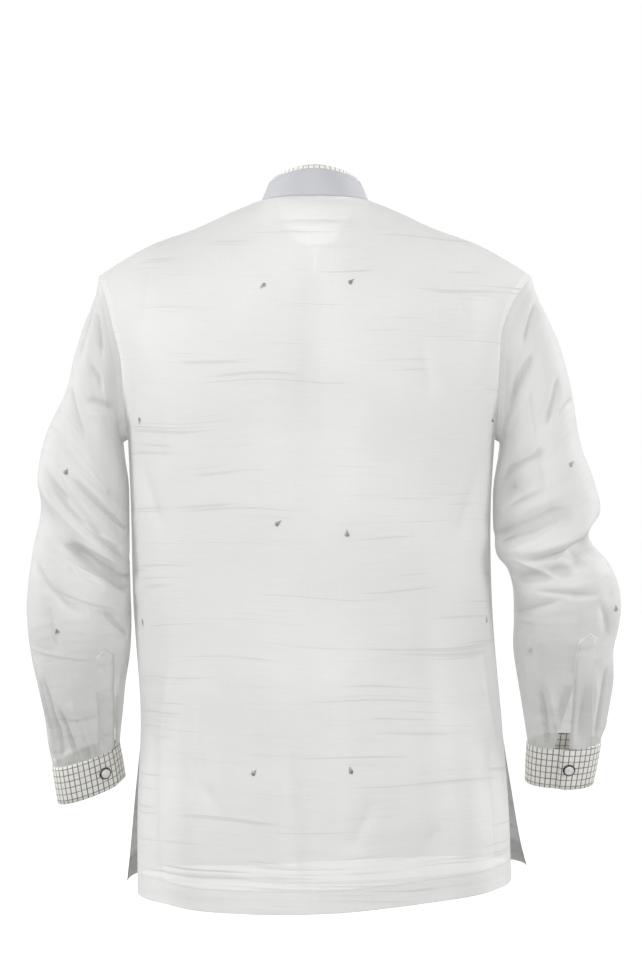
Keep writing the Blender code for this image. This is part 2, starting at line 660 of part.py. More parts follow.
def build_sleeve_placket(right, outer, normal, base):
    """The pointed band over a cuff slit and the narrow band under its other edge."""
    slit = RIGHT_SLIT_ANGLE if right else LEFT_SLIT_ANGLE
    name = "right" if right else "left"
    start = RIGHT_BAND_START if right else LEFT_BAND_START
    rings = RIGHT_RINGS if right else LEFT_RINGS
    places = np.array([start, start + 0.016] + [p for p in SLEEVE_PLACES if p > start + 0.03])
    row = smooth(rings, places)
    degree = math.pi / 180 * (np.abs(row[:, 0] - row[:, 2]) / 2 + row[:, 5]) / 2
    half = SLEEVE_PLACKET_WIDTH / 2 / degree
    reach = np.where(places == start, half / 11, half)
    at = slit - (half + 1.7)[:, None] + reach[:, None] * np.linspace(-1, 1, 5)[None, :]
    wide = np.broadcast_to(places[:, None], at.shape)
    grid = between(outer, base, at, wide)
    way = between(normal, base, at, wide)
    grid = pulled(grid + way * (SEAM_GAP + 0.8), ("top",), SEAM_GAP + 0.3)
    wall("placket_sleeve_" + name, grid + way * BAND, grid, "cloth")
    low = places >= SLIT_START - 1e-9
    at = slit + 1.0 + np.array((0.0, 0.5, 1.0))[None, :] * UNDERLAP_WIDTH / degree[low][:, None]
    wide = np.broadcast_to(places[low][:, None], at.shape)
    grid = between(outer, base, at, wide)
    way = between(normal, base, at, wide)
    grid = pulled(grid - way * (CLOTH + SEAM_GAP + 0.4), ("top",), SEAM_GAP + 0.3)
    wall("underlap_sleeve_" + name, grid, grid - way * BAND, "cloth")


def neck_ring(back, left, right):
    """Points round the neck edge from the front centre by the left side, from the panels' own points."""
    column = int(round(NECK_SHARE * ACROSS))
    half = ACROSS // 2
    front_left = left[-1, column:][::-1]
    front_right = right[-1, : half - column + 1][::-1]
    middle = torso(True, np.array([0.5]), np.array([2.0]))
    ring = np.concatenate(
        (middle, front_left[:-1], back[-1, column : ACROSS - column + 1], front_right[1:], middle)
    )
    length = np.concatenate(([0], np.cumsum(np.linalg.norm(np.diff(ring[:, :2], axis=0), axis=1))))
    turn = length / length[-1]
    fine = np.interp(np.arange(0, len(ring) - 0.75, 0.5), np.arange(len(ring)), turn)
    flat = smooth(np.column_stack((turn, ring[:, :2])), fine)
    return fine, np.column_stack((flat, np.interp(fine, turn, ring[:, 2])))


def build_collar(back, left, right):
    """The grey outer band and the checked inner band of the stand collar."""
    turn, base = neck_ring(back, left, right)
    gap = 0.8
    base[0, 0] = gap
    base[-1, 0] = -gap
    table = smooth(COLLAR_TABLE, turn)
    inward = -base * np.array((1.0, 1.0, 0.0))
    inward = inward / np.linalg.norm(inward, axis=-1, keepdims=True)
    inward[0] = inward[-1] = (0.0, 1.0, 0.0)
    up = np.array((0.0, 0.0, 1.0))
    lift = SEAM_GAP + 0.2
    for name, inset, thick, rise, look in (
        ("collar_outer", lift, COLLAR_WALL, 0.0, "collar"),
        ("collar_inner", lift + COLLAR_WALL + SEAM_GAP + 0.2, CLOTH, COLLAR_RISE, "check"),
    ):
        rows = []
        for share in (0.0, 0.5, 1.0):
            height = lift + share * (table[:, :1] + rise - lift)
            lean = table[:, 1:2] * height / table[:, :1]
            rows.append(base + up * height + inward * (lean + inset))
        outer = np.stack(rows)
        wall(name, outer, outer + inward[None] * thick, look)


def main():
    """Builds every piece."""
    for old in list(bpy.data.objects):
        bpy.data.objects.remove(old)
    build_torso_and_sleeves()


main()
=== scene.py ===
"""Barong tagalog shirt as worn, hollow, in sheer slubbed cloth with checked cuffs and a grey collar."""

import logging
import math
from collections.abc import Sequence
from dataclasses import dataclass
from enum import Enum

import bpy
import numpy as np
from mathutils import Matrix, Vector
from mathutils.bvhtree import BVHTree


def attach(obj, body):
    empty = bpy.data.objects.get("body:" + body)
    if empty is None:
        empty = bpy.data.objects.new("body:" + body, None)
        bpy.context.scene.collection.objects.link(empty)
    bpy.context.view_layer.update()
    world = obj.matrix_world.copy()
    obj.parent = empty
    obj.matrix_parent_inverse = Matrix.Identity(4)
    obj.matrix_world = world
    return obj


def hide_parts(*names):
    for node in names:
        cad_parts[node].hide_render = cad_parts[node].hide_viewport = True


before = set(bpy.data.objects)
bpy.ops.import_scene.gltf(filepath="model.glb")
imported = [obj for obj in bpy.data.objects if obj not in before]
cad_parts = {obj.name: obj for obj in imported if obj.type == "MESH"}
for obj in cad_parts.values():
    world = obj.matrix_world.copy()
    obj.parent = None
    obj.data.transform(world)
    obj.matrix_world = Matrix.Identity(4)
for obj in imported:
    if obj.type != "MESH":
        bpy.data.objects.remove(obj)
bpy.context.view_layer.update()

Array = np.ndarray
Table = tuple[tuple[float, ...], ...]
Colour = tuple[float, float, float]
Piece = bpy.types.Object
Finish = bpy.types.Material
Socket = bpy.types.NodeSocket
Tree = bpy.types.NodeTree

MM = 0.001
UP = np.array((0.0, 0.0, 1.0))
# degrees of one facet of a sleeve's solid, whose slit lies in the middle of one
SLEEVE_FACET = 180 / 11
log = logging.getLogger("barong")


class Side(Enum):
    """The wearer's left or right."""

    LEFT = "left"
    RIGHT = "right"


class Face(Enum):
    """The back or the front of the body."""

    BACK = "back"
    FRONT = "front"


def smooth(table: Table | Array, at: Array) -> Array:
    """Reads a table on a smooth curve through its rows.

    Args:
        table: Rows whose first column is the key.
        at: Keys to read, of any shape.

    Returns:
        The other columns at those keys, on a last axis.
    """
    rows = np.asarray(table, float)
    keys = rows[:, 0]
    values = rows[:, 1:]
    slopes = np.gradient(values, keys, axis=0)
    at = np.clip(np.asarray(at, float), keys[0], keys[-1])
    low = np.clip(np.searchsorted(keys, at, side="right") - 1, 0, len(keys) - 2)
    step = (keys[low + 1] - keys[low])[..., None]
    f = (at[..., None] - keys[low][..., None]) / step
    first = (2 * f**3 - 3 * f**2 + 1) * values[low] + (f**3 - 2 * f**2 + f) * step * slopes[low]
    second = (3 * f**2 - 2 * f**3) * values[low + 1] + (f**3 - f**2) * step * slopes[low + 1]
    return first + second


def power(value: Array, exponent: float) -> Array:
    """Raises the size of a value to a power and keeps its sign."""
    return np.sign(value) * np.abs(value) ** exponent


def near_line(across: Array, along: Array, crease: Sequence[float], sharp: float) -> Array:
    """Tells how near places of the cloth lie to a crease.

    Args:
        across: Places across the cloth, in millimetres.
        along: Places along the cloth, in millimetres.
        crease: Start across, start along, end across, end along and half width.
        sharp: 2 for a soft fold, nearer 1 for a pressed one.

    Returns:
        1 on the crease, falling to 0 away from it.
    """
    x0, y0, x1, y1, half_width = crease
    span = (x1 - x0) ** 2 + (y1 - y0) ** 2
    share = ((across - x0) * (x1 - x0) + (along - y0) * (y1 - y0)) / span
    inside = np.clip(share, 0, 1)
    off = np.hypot(across - x0 - inside * (x1 - x0), along - y0 - inside * (y1 - y0))
    fade = np.clip(np.minimum(share + 0.15, 1.15 - share) / 0.4, 0, 1)
    return np.exp(-((off / half_width) ** sharp)) * fade * fade * (3 - 2 * fade)


def lengths(grid: Array, axis: int, flat: bool = False) -> Array:
    """Adds up the cloth's length along one axis of a grid.

    Args:
        grid: Points, rows by columns by 3.
        axis: 0 up the rows or 1 across the columns.
        flat: Whether heights are left out.

    Returns:
        The length from the first row or column, in the grid's own unit.
    """
    step = np.diff(grid[..., :2] if flat else grid, axis=axis)
    total = np.cumsum(np.linalg.norm(step, axis=-1), axis=axis)
    return np.insert(total, 0, 0, axis=axis)


def normals(grid: Array, outward: int) -> Array:
    """Works out the unit normals of a grid from its neighbours.

    Args:
        grid: Points, rows by columns by 3.
        outward: 1 or -1, the sign that makes them point out of the shirt.

    Returns:
        Normals in the same shape.
    """
    closed = np.allclose(grid[:, 0], grid[:, -1], atol=1e-4)
    wide = np.concatenate((grid[:, -2:-1], grid, grid[:, 1:2]), 1) if closed else grid
    found = np.cross(np.gradient(wide, axis=1), np.gradient(wide, axis=0)) * outward
    found = found[:, 1:-1] if closed else found
    return found / np.maximum(np.linalg.norm(found, axis=-1, keepdims=True), 1e-9)


def unit(vectors: Array) -> Array:
    """Scales vectors to a length of 1."""
    return vectors / np.maximum(np.linalg.norm(vectors, axis=-1, keepdims=True), 1e-9)


class Term:
    """One number's socket in a material, on which arithmetic can be written."""

    def __init__(self, tree: Tree, socket: Socket) -> None:
        """Keeps the tree and the output socket."""
        self.tree = tree
        self.socket = socket

    def _math(self, operation: str, *values: "Term | float") -> "Term":
        """Adds a Math node.

        Args:
            operation: The node's operation.
            values: What feeds its sockets, in order.

        Returns:
            The node's result.
        """
        node = self.tree.nodes.new("ShaderNodeMath")
        node.operation = operation
        for i, value in enumerate(values):
            if isinstance(value, Term):
                self.tree.links.new(value.socket, node.inputs[i])
            else:
                node.inputs[i].default_value = value
        return Term(self.tree, node.outputs[0])

    def __add__(self, other: "Term | float") -> "Term":
        """Adds."""
        return self._math("ADD", self, other)

    __radd__ = __add__

    def __sub__(self, other: "Term | float") -> "Term":
        """Subtracts."""
        return self._math("SUBTRACT", self, other)

    def __mul__(self, other: "Term | float") -> "Term":
        """Multiplies."""
        return self._math("MULTIPLY", self, other)

    def __mod__(self, other: "Term | float") -> "Term":
        """Keeps what is left over, never below 0."""
        return self._math("FLOORED_MODULO", self, other)

    def distance(self, value: float) -> "Term":
        """How far the number lies from a value."""
        return self._math("ABSOLUTE", self - value)

    def highest(self, other: "Term | float") -> "Term":
        """The higher of the two."""
        return self._math("MAXIMUM", self, other)

    def step(self, low: float, high: float) -> "Term":
        """Rises smoothly from 0 at low to 1 at high, or falls where low is above high.

        Args:
            low: Value that gives 0.
            high: Value that gives 1.

        Returns:
            The share.
        """
        node = self.tree.nodes.new("ShaderNodeMapRange")
        node.interpolation_type = "SMOOTHSTEP"
        start, end, first, last = (low, high, 0.0, 1.0) if low < high else (high, low, 1.0, 0.0)
        self.tree.links.new(self.socket, node.inputs["Value"])
        node.inputs["From Min"].default_value = start
        node.inputs["From Max"].default_value = end
        node.inputs["To Min"].default_value = first
        node.inputs["To Max"].default_value = last
        return Term(self.tree, node.outputs[0])


class Surface:
    """A material whose nodes are added by hand, with one Principled shader."""

    def __init__(self, name: str, roughness: float, shine: float = 0.5, sheen: float = 0.0) -> None:
        """Starts the material.

        Args:
            name: The material's name.
            roughness: How rough its surface is.
            shine: How strongly it mirrors light.
            sheen: How strongly its fibres catch light at its edges.
        """
        self.material = bpy.data.materials.new(name)
        self.material.use_nodes = True
        self.tree = self.material.node_tree
        self.shader = self.tree.nodes["Principled BSDF"]
        self.feed("Roughness", roughness)
        self.feed("Specular IOR Level", shine)
        self.feed("Sheen Weight", sheen)

    def node(
        self, kind: str, settings: dict[str, object], sockets: dict[str | int, object]
    ) -> bpy.types.Node:
        """Adds any node.

        Args:
            kind: The node's type.
            settings: Its own settings.
            sockets: Values or links of its inputs, by name or number.

        Returns:
            The node.
        """
        made = self.tree.nodes.new(kind)
        for key, value in settings.items():
            setattr(made, key, value)
        for key, value in sockets.items():
            if isinstance(value, Term):
                value = value.socket
            if isinstance(value, Socket):
                self.tree.links.new(value, made.inputs[key])
            else:
                made.inputs[key].default_value = value
        return made

    def term(self, socket: Socket) -> Term:
        """Wraps a socket for arithmetic."""
        return Term(self.tree, socket)

    def place(self, output: str) -> Socket:
        """Gives the piece's own UV map or its Object coordinates."""
        return self.node("ShaderNodeTexCoord", {}, {}).outputs[output]

    def scaled(self, vector: Socket, scale: Sequence[float]) -> Socket:
        """Stretches coordinates."""
        node = self.node("ShaderNodeVectorMath", {"operation": "MULTIPLY"}, {0: vector, 1: tuple(scale)})
        return node.outputs[0]

    def noise(self, vector: Socket, scale: Sequence[float], detail: float = 2.0) -> Term:
        """Adds a noise.

        Args:
            vector: Coordinates to read, in metres.
            scale: Waves in a metre along each axis.
            detail: How many finer waves it has.

        Returns:
            The noise, about 0.5 on average.
        """
        sockets = {"Vector": self.scaled(vector, scale), "Scale": 1.0, "Detail": detail}
        return self.term(self.node("ShaderNodeTexNoise", {}, sockets).outputs["Fac"])

    def mix(self, share: Term | float, low: object, high: object) -> Socket:
        """Mixes two colours.

        Args:
            share: How much of the second one shows.
            low: The first colour or its socket.
            high: The second colour or its socket.

        Returns:
            The mixed colour.
        """
        sockets = {0: share, 6: low, 7: high}
        return self.node("ShaderNodeMix", {"data_type": "RGBA"}, sockets).outputs[2]

    def colour(self, value: object) -> None:
        """Feeds or sets the base colour."""
        self.feed("Base Color", value)

    def feed(self, name: str, value: object) -> None:
        """Feeds or sets an input of the shader."""
        if isinstance(value, Term):
            value = value.socket
        if isinstance(value, Socket):
            self.tree.links.new(value, self.shader.inputs[name])
        else:
            self.shader.inputs[name].default_value = value

    def bump(self, height: Term, distance: float, strength: float = 1.0) -> None:
        """Raises the surface.

        Args:
            height: Height from 0 to 1.
            distance: What a height of 1 stands for, in metres.
            strength: How strongly it shows.
        """
        sockets = {"Height": height, "Distance": distance, "Strength": strength}
        self.feed("Normal", self.node("ShaderNodeBump", {}, sockets).outputs[0])


def rgba(colour: Colour) -> tuple[float, float, float, float]:
    """Adds a solid alpha to a colour."""
    return (*colour, 1.0)


@dataclass(frozen=True)
class SheerCloth:
    """Sheer ivory cloth with uneven slubs, and painted shade in the hollows of its creases.

    Attributes:
        name: The material's name.
        cover: Share of what is behind it that it hides.
        seam_cover: What a doubled seam hides besides.
        tone: Its colour.
        slub_and_shade: The colour of its thick threads, and of the painted shade in the hollows of its
            creases.
        drift: How far its threads wander, in metres.
        deep: How strongly painted shade darkens the hollow of a crease.
        hollow: Depths in millimetres at which the painted shade in a hollow starts and at which it is
            darkest.
        sheen: How strongly its fibres catch light.
    """

    name: str
    cover: float = 0.91
    seam_cover: float = 0.06
    tone: Colour = (0.80, 0.80, 0.785)
    slub_and_shade: Colour = (0.42, 0.425, 0.42)
    drift: float = 0.03
    deep: float = 0.08
    hollow: tuple[float, float] = (-0.2, -2.2)
    sheen: float = 0.2

    def make(self) -> Finish:
        """Builds the material on the cloth's UV map, which is in metres."""
        surface = Surface(self.name, 0.62, 0.35, self.sheen)
        flat = surface.place("UV")
        cloudy = surface.noise(flat, (4, 7, 1), 3)
        cloth = self._drifting(surface, flat)
        threads = surface.noise(cloth, (40, 1500, 1), 2)
        warp = surface.noise(flat, (1300, 16, 1), 1)
        slubs = self._slubs(surface, cloth)
        band = self._layer(surface, "band").step(1.04, 0.96)
        hollow = self._layer(surface, "stands").step(*self.hollow)
        paler = tuple(1.06 * part for part in self.tone)
        tone = surface.mix(cloudy.step(0.3, 0.7), rgba(self.tone), rgba(paler))
        # Painted shade: the hollows of the creases are darkened towards the thick threads' colour, the deeper
        # the darker.
        tone = surface.mix(hollow * self.deep, tone, rgba(self.slub_and_shade))
        tone = surface.mix(slubs * 0.42, tone, rgba(self.slub_and_shade))
        surface.colour(surface.mix(warp.step(0.5, 0.85) * 0.06, tone, rgba(self.slub_and_shade)))
        surface.feed("Alpha", self.cover + (threads - 0.5) * 0.1 + slubs * 0.2 + band * self.seam_cover)
        wrinkles = surface.noise(flat, (26, 11, 1), 2)
        surface.bump(threads * 0.05 + wrinkles * 0.7 + band * 0.06, 0.0018, 0.8)
        surface.feed("Sheen Roughness", 0.4)
        return surface.material

    def _drifting(self, surface: Surface, cloth: Socket) -> Socket:
        """Lets the threads across drift gently up and down, as in hand-woven cloth."""
        drift = surface.noise(cloth, (4.5, 5, 1), 1)
        split = surface.node("ShaderNodeSeparateXYZ", {}, {0: cloth})
        along = surface.term(split.outputs[1]) + (drift - 0.5) * self.drift
        return surface.node("ShaderNodeCombineXYZ", {}, {0: split.outputs[0], 1: along}).outputs[0]

    def _slubs(self, surface: Surface, cloth: Socket) -> Term:
        """Draws thick threads of uneven length: a few long ones and many short fine ones."""
        streaks = surface.noise(cloth, (1.7, 120, 1), 1).step(0.52, 0.72)
        long_lines = surface.noise(cloth, (3.0, 260, 1), 1).step(0.555, 0.66)
        breaks = surface.noise(cloth, (7, 38, 1), 1).step(0.42, 0.60)
        short_lines = surface.noise(cloth, (9, 480, 1), 1).step(0.53, 0.72)
        return (streaks * 0.35).highest(long_lines * breaks * 0.9).highest(short_lines * 0.6)

    def _layer(self, surface: Surface, title: str) -> Term:
        """Reads one of the cloth's own attributes."""
        settings = {"attribute_name": title, "attribute_type": "GEOMETRY"}
        return surface.term(surface.node("ShaderNodeAttribute", settings, {}).outputs["Fac"])


@dataclass(frozen=True)
class CheckedCloth:
    """Ivory cloth with a fine dark grey graph check.

    Attributes:
        name: The material's name.
        across: Distance between upright lines, in millimetres.
        along: Distance between level lines.
        line: Width of a line.
        start: Height of the lowest level line above the edge.
        ground: Colour of the cloth.
        ink: Colour of the lines.
    """

    name: str
    across: float = 6.3
    along: float = 7.7
    line: float = 1.2
    start: float = 4.0
    ground: Colour = (0.90, 0.885, 0.83)
    ink: Colour = (0.10, 0.105, 0.12)

    def make(self) -> Finish:
        """Builds the material on the cloth's UV map, which is in metres."""
        surface = Surface(self.name, 0.7, 0.3, 0.2)
        cloth = surface.place("UV")
        split = surface.node("ShaderNodeSeparateXYZ", {}, {0: cloth})
        worn = surface.noise(cloth, (900, 900, 1), 2)
        u = surface.term(split.outputs[0]) * 1000
        v = surface.term(split.outputs[1]) * 1000 - (self.start - self.along / 2)
        upright = self._line(u, self.across)
        level = self._line(v, self.along)
        shade = surface.noise(cloth, (22, 22, 1), 3)
        faded = surface.noise(cloth, (60, 110, 1), 2).step(0.3, 0.62)
        ground = surface.mix(shade * 0.4, rgba(self.ground), rgba((0.80, 0.785, 0.73)))
        ink = upright.highest(level * (0.55 + faded * 0.4)) * (0.74 + worn * 0.4)
        surface.colour(surface.mix(ink, ground, rgba(self.ink)))
        weave = surface.noise(cloth, (260, 2200, 1), 2) + surface.noise(cloth, (2200, 260, 1), 2)
        surface.bump(weave * 0.4 + shade, 0.0009, 0.5)
        return surface.material

    def _line(self, place: Term, pitch: float) -> Term:
        """Draws one line in the middle of each repeat."""
        half = self.line / 2
        return (place % pitch).distance(pitch / 2).step(half * 1.25, half * 0.6)


@dataclass(frozen=True)
class PlainCloth:
    """Plain woven cloth.

    Attributes:
        name: The material's name.
        tone: Its colour.
    """

    name: str
    tone: Colour

    def make(self) -> Finish:
        """Builds the material on the cloth's UV map, which is in metres."""
        surface = Surface(self.name, 0.75, 0.3, 0.2)
        cloth = surface.place("UV")
        weft = surface.noise(cloth, (200, 2400, 1), 2)
        warp = surface.noise(cloth, (2400, 200, 1), 2)
        shade = surface.noise(cloth, (14, 30, 1), 3)
        darker = tuple(0.84 * part for part in self.tone)
        tone = surface.mix((weft + warp) * 0.5, rgba(darker), rgba(self.tone))
        surface.colour(surface.mix(shade * 0.3, tone, rgba(darker)))
        surface.bump((weft + warp) * 0.3 + shade * 0.5, 0.0009, 0.5)
        return surface.material


@dataclass(frozen=True)
class Thread:
    """Sewing or embroidery thread.

    Attributes:
        name: The material's name.
        tone: Its colour.
        gloss: How metallic it looks, from 0 to 1.
    """

    name: str
    tone: Colour
    gloss: float = 0.0

    def make(self) -> Finish:
        """Builds the material on Object coordinates."""
        surface = Surface(self.name, 0.5 - 0.15 * self.gloss, sheen=0.2)
        place = surface.place("Object")
        strands = surface.noise(place, (2600, 2600, 700), 2)
        darker = tuple(0.55 * part for part in self.tone)
        surface.colour(surface.mix(strands.step(0.35, 0.65), rgba(darker), rgba(self.tone)))
        surface.bump(strands, 0.0003, 0.6)
        surface.feed("Metallic", 0.6 * self.gloss)
        return surface.material


@dataclass(frozen=True)
class Pearl:
    """Pearly shell with soft clouds of grey."""

    name: str

    def make(self) -> Finish:
        """Builds the material on Object coordinates."""
        surface = Surface(self.name, 0.22)
        place = surface.place("Object")
        cloud = surface.noise(place, (260, 260, 420), 4)
        layers = surface.noise(place, (90, 90, 1500), 3)
        pale = surface.mix(cloud.step(0.35, 0.7), rgba((0.72, 0.71, 0.70)), rgba((0.90, 0.885, 0.87)))
        surface.colour(surface.mix(layers.step(0.5, 0.75) * 0.35, pale, rgba((0.72, 0.66, 0.64))))
        surface.feed("Roughness", 0.16 + layers * 0.18)
        surface.feed("Coat Weight", 0.4)
        surface.bump(cloud, 0.0002, 0.4)
        return surface.material


@dataclass(frozen=True)
class DarkMetal:
    """Worn dark metal of the button rims."""

    name: str

    def make(self) -> Finish:
        """Builds the material on Object coordinates."""
        surface = Surface(self.name, 0.35)
        place = surface.place("Object")
        grain = surface.noise(place, (900, 900, 900), 3)
        dark, worn = rgba((0.05, 0.052, 0.055)), rgba((0.20, 0.20, 0.195))
        surface.colour(surface.mix(grain.step(0.4, 0.8), dark, worn))
        surface.feed("Metallic", 0.8)
        surface.feed("Roughness", 0.28 + grain * 0.25)
        surface.bump(grain, 0.0001, 0.4)
        return surface.material


@dataclass(frozen=True)
class FloorPaint:
    """Pale matt studio floor."""

    name: str

    def make(self) -> Finish:
        """Builds the material on Object coordinates."""
        surface = Surface(self.name, 0.8, 0.2)
        place = surface.place("Object")
        cloud = surface.noise(place, (0.6, 0.6, 0.6), 3)
        surface.colour(surface.mix(cloud, rgba((0.90, 0.90, 0.90)), rgba((0.93, 0.93, 0.93))))
        surface.feed("Emission Color", (1.0, 1.0, 1.0, 1.0))
        surface.feed("Emission Strength", 0.8)
        return surface.material


def new_object(name: str, points: Array, faces: list[tuple[int, ...]]) -> Piece:
    """Makes a mesh object in the scene.

    Args:
        name: The piece's name.
        points: Its points, in metres.
        faces: Its faces, as point numbers that turn anticlockwise from outside.

    Returns:
        The object, with smooth faces.
    """
    mesh = bpy.data.meshes.new(name)
    mesh.from_pydata(points.tolist(), [], faces)
    mesh.polygons.foreach_set("use_smooth", [True] * len(mesh.polygons))
    mesh.update()
    made = bpy.data.objects.new(name, mesh)
    bpy.context.collection.objects.link(made)
    return made


def map_corners(piece: Piece, places: Array) -> None:
    """Gives a piece its UV map.

    Args:
        piece: The piece.
        places: One place for each corner of its faces, in metres.
    """
    layer = piece.data.uv_layers.new(name="cloth")
    layer.data.foreach_set("uv", np.asarray(places, float).ravel())


def softened(grid: Array, axis: int) -> Array:
    """Evens a grid out with its neighbours along one axis, and keeps its two edges."""
    rows = np.moveaxis(grid, axis, 0)
    middle = (rows[:-2] + 2 * rows[1:-1] + rows[2:]) / 4
    return np.moveaxis(np.concatenate((rows[:1], middle, rows[-1:])), 0, axis)


def standing(grid: Array, way: Array) -> Array:
    """Finds how far each point stands out of the smoothed sheet round it, in millimetres.

    Args:
        grid: Points of the sheet, rows by columns by 3.
        way: Its outward directions.

    Returns:
        The distances, less than nothing in a hollow.
    """
    soft = grid
    for _ in range(60):
        soft = softened(softened(soft, 0), 1)
    found = np.sum((grid - soft) * way, -1)
    return found - np.median(found)


def grid_sheet(
    name: str,
    grid: Array,
    places: Array,
    outward: int,
    finish: Finish,
    band: Array | None = None,
    joined: Array | None = None,
) -> Piece:
    """Makes a sheet of sheer cloth from a grid of points, in place of the solid that its name tells.

    Args:
        name: The piece's name.
        grid: Points in millimetres, rows by columns by 3.
        places: Where each point lies on the flat cloth, in millimetres.
        outward: The sign that makes the faces look out of the shirt.
        finish: Its cloth.
        band: Distance from the seams over the width of their allowance, at each point.
        joined: Which rows close on themselves, so that their last column is their first.

    Returns:
        The sheet as an object.
    """
    rows, columns = grid.shape[:2]
    number = np.arange(rows * columns).reshape(rows, columns)
    if joined is not None:
        number[:, -1] = np.where(joined, number[:, 0], number[:, -1])
    here = np.stack((number[:-1, :-1], number[:-1, 1:], number[1:, 1:], number[1:, :-1]), -1)
    flat = np.stack((places[:-1, :-1], places[:-1, 1:], places[1:, 1:], places[1:, :-1]), 2)
    if outward < 0:
        here = here[..., ::-1]
        flat = flat[:, :, ::-1]
    faces = here.reshape(-1, 4)
    used, fresh = np.unique(faces, return_inverse=True)
    piece = new_object(name, grid.reshape(-1, 3)[used] * MM, fresh.reshape(-1, 4).tolist())
    map_corners(piece, flat.reshape(-1, 2) * MM)
    if band is not None:
        # How far each point stands out of the sheet feeds the cloth's painted shade in the hollows of
        # creases.
        stands = standing(grid, normals(grid, outward))
        for title, values in (("band", band), ("stands", stands)):
            layer = piece.data.attributes.new(title, "FLOAT", "POINT")
            layer.data.foreach_set("value", values.reshape(-1)[used])
    return dress(piece, finish, "sheer_cloth", name.removeprefix("cloth_"))


def stiff_band(
    name: str, low: Array, high: Array, out: Array, thick: float, corner: float, swell: float = 0.0
) -> Piece:
    """Makes a doubled band of cloth with rounded edges and corners, such as a cuff or a collar.

    Args:
        name: The piece's name.
        low: Points along its lower edge, in millimetres.
        high: Points along its upper edge.
        out: Unit vectors out of the band at those points.
        thick: Its thickness.
        corner: Radius of the corners at its two ends.
        swell: How far its middle stands out.

    Returns:
        The closed band as an object.
    """
    along = lengths((low + high) / 2, 0)
    tall = np.linalg.norm(high - low, axis=1)
    from_end = np.minimum(along, along[-1] - along)
    curve = np.clip(corner - from_end, 0, corner)
    inset = (corner - np.sqrt(np.maximum(corner**2 - curve**2, 0))) / tall
    radius = thick / 2
    levels = np.concatenate((np.linspace(0, 1, 9), [1.0], np.linspace(1, 0, 9), [0.0]))
    depth = np.concatenate((np.full(9, 1.0), [0.0], np.full(9, -1.0), [0.0])) * radius
    overhang = np.zeros(len(levels))
    overhang[9], overhang[19] = radius, -radius
    share = inset[None, :] + levels[:, None] * (1 - 2 * inset[None, :])
    soft = np.clip(from_end / radius, 0.25, 1)[None, :]
    grid = low[None] + (high - low)[None] * share[..., None]
    grid = grid + unit(high - low)[None] * (overhang[:, None] * soft)[..., None]
    bulge = swell * np.sin(np.pi * np.clip(share, 0, 1))
    grid = grid + out[None] * (depth[:, None] * soft + bulge)[..., None]
    flat = np.stack((np.broadcast_to(along, share.shape), share * tall[None]), -1)
    rows, columns = share.shape
    faces, places = [], []
    for r in range(rows):
        s = (r + 1) % rows
        for c in range(columns - 1):
            faces.append((r * columns + c, r * columns + c + 1, s * columns + c + 1, s * columns + c))
            places += [flat[r, c], flat[r, c + 1], flat[s, c + 1], flat[s, c]]
    for c, turn in ((0, 1), (columns - 1, -1)):
        ring = [r * columns + c for r in range(rows)][::turn]
        faces.append(tuple(ring))
        places += [flat[k // columns, c] for k in ring]
    piece = new_object(name, grid.reshape(-1, 3) * MM, faces)
    map_corners(piece, np.array(places) * MM)
    corners = grid.reshape(-1, 3)[np.array(faces[:-2])[:, :3]]
    if np.sum(corners[:, 0] * np.cross(corners[:, 1], corners[:, 2])) < 0:
        piece.data.flip_normals()
    return piece


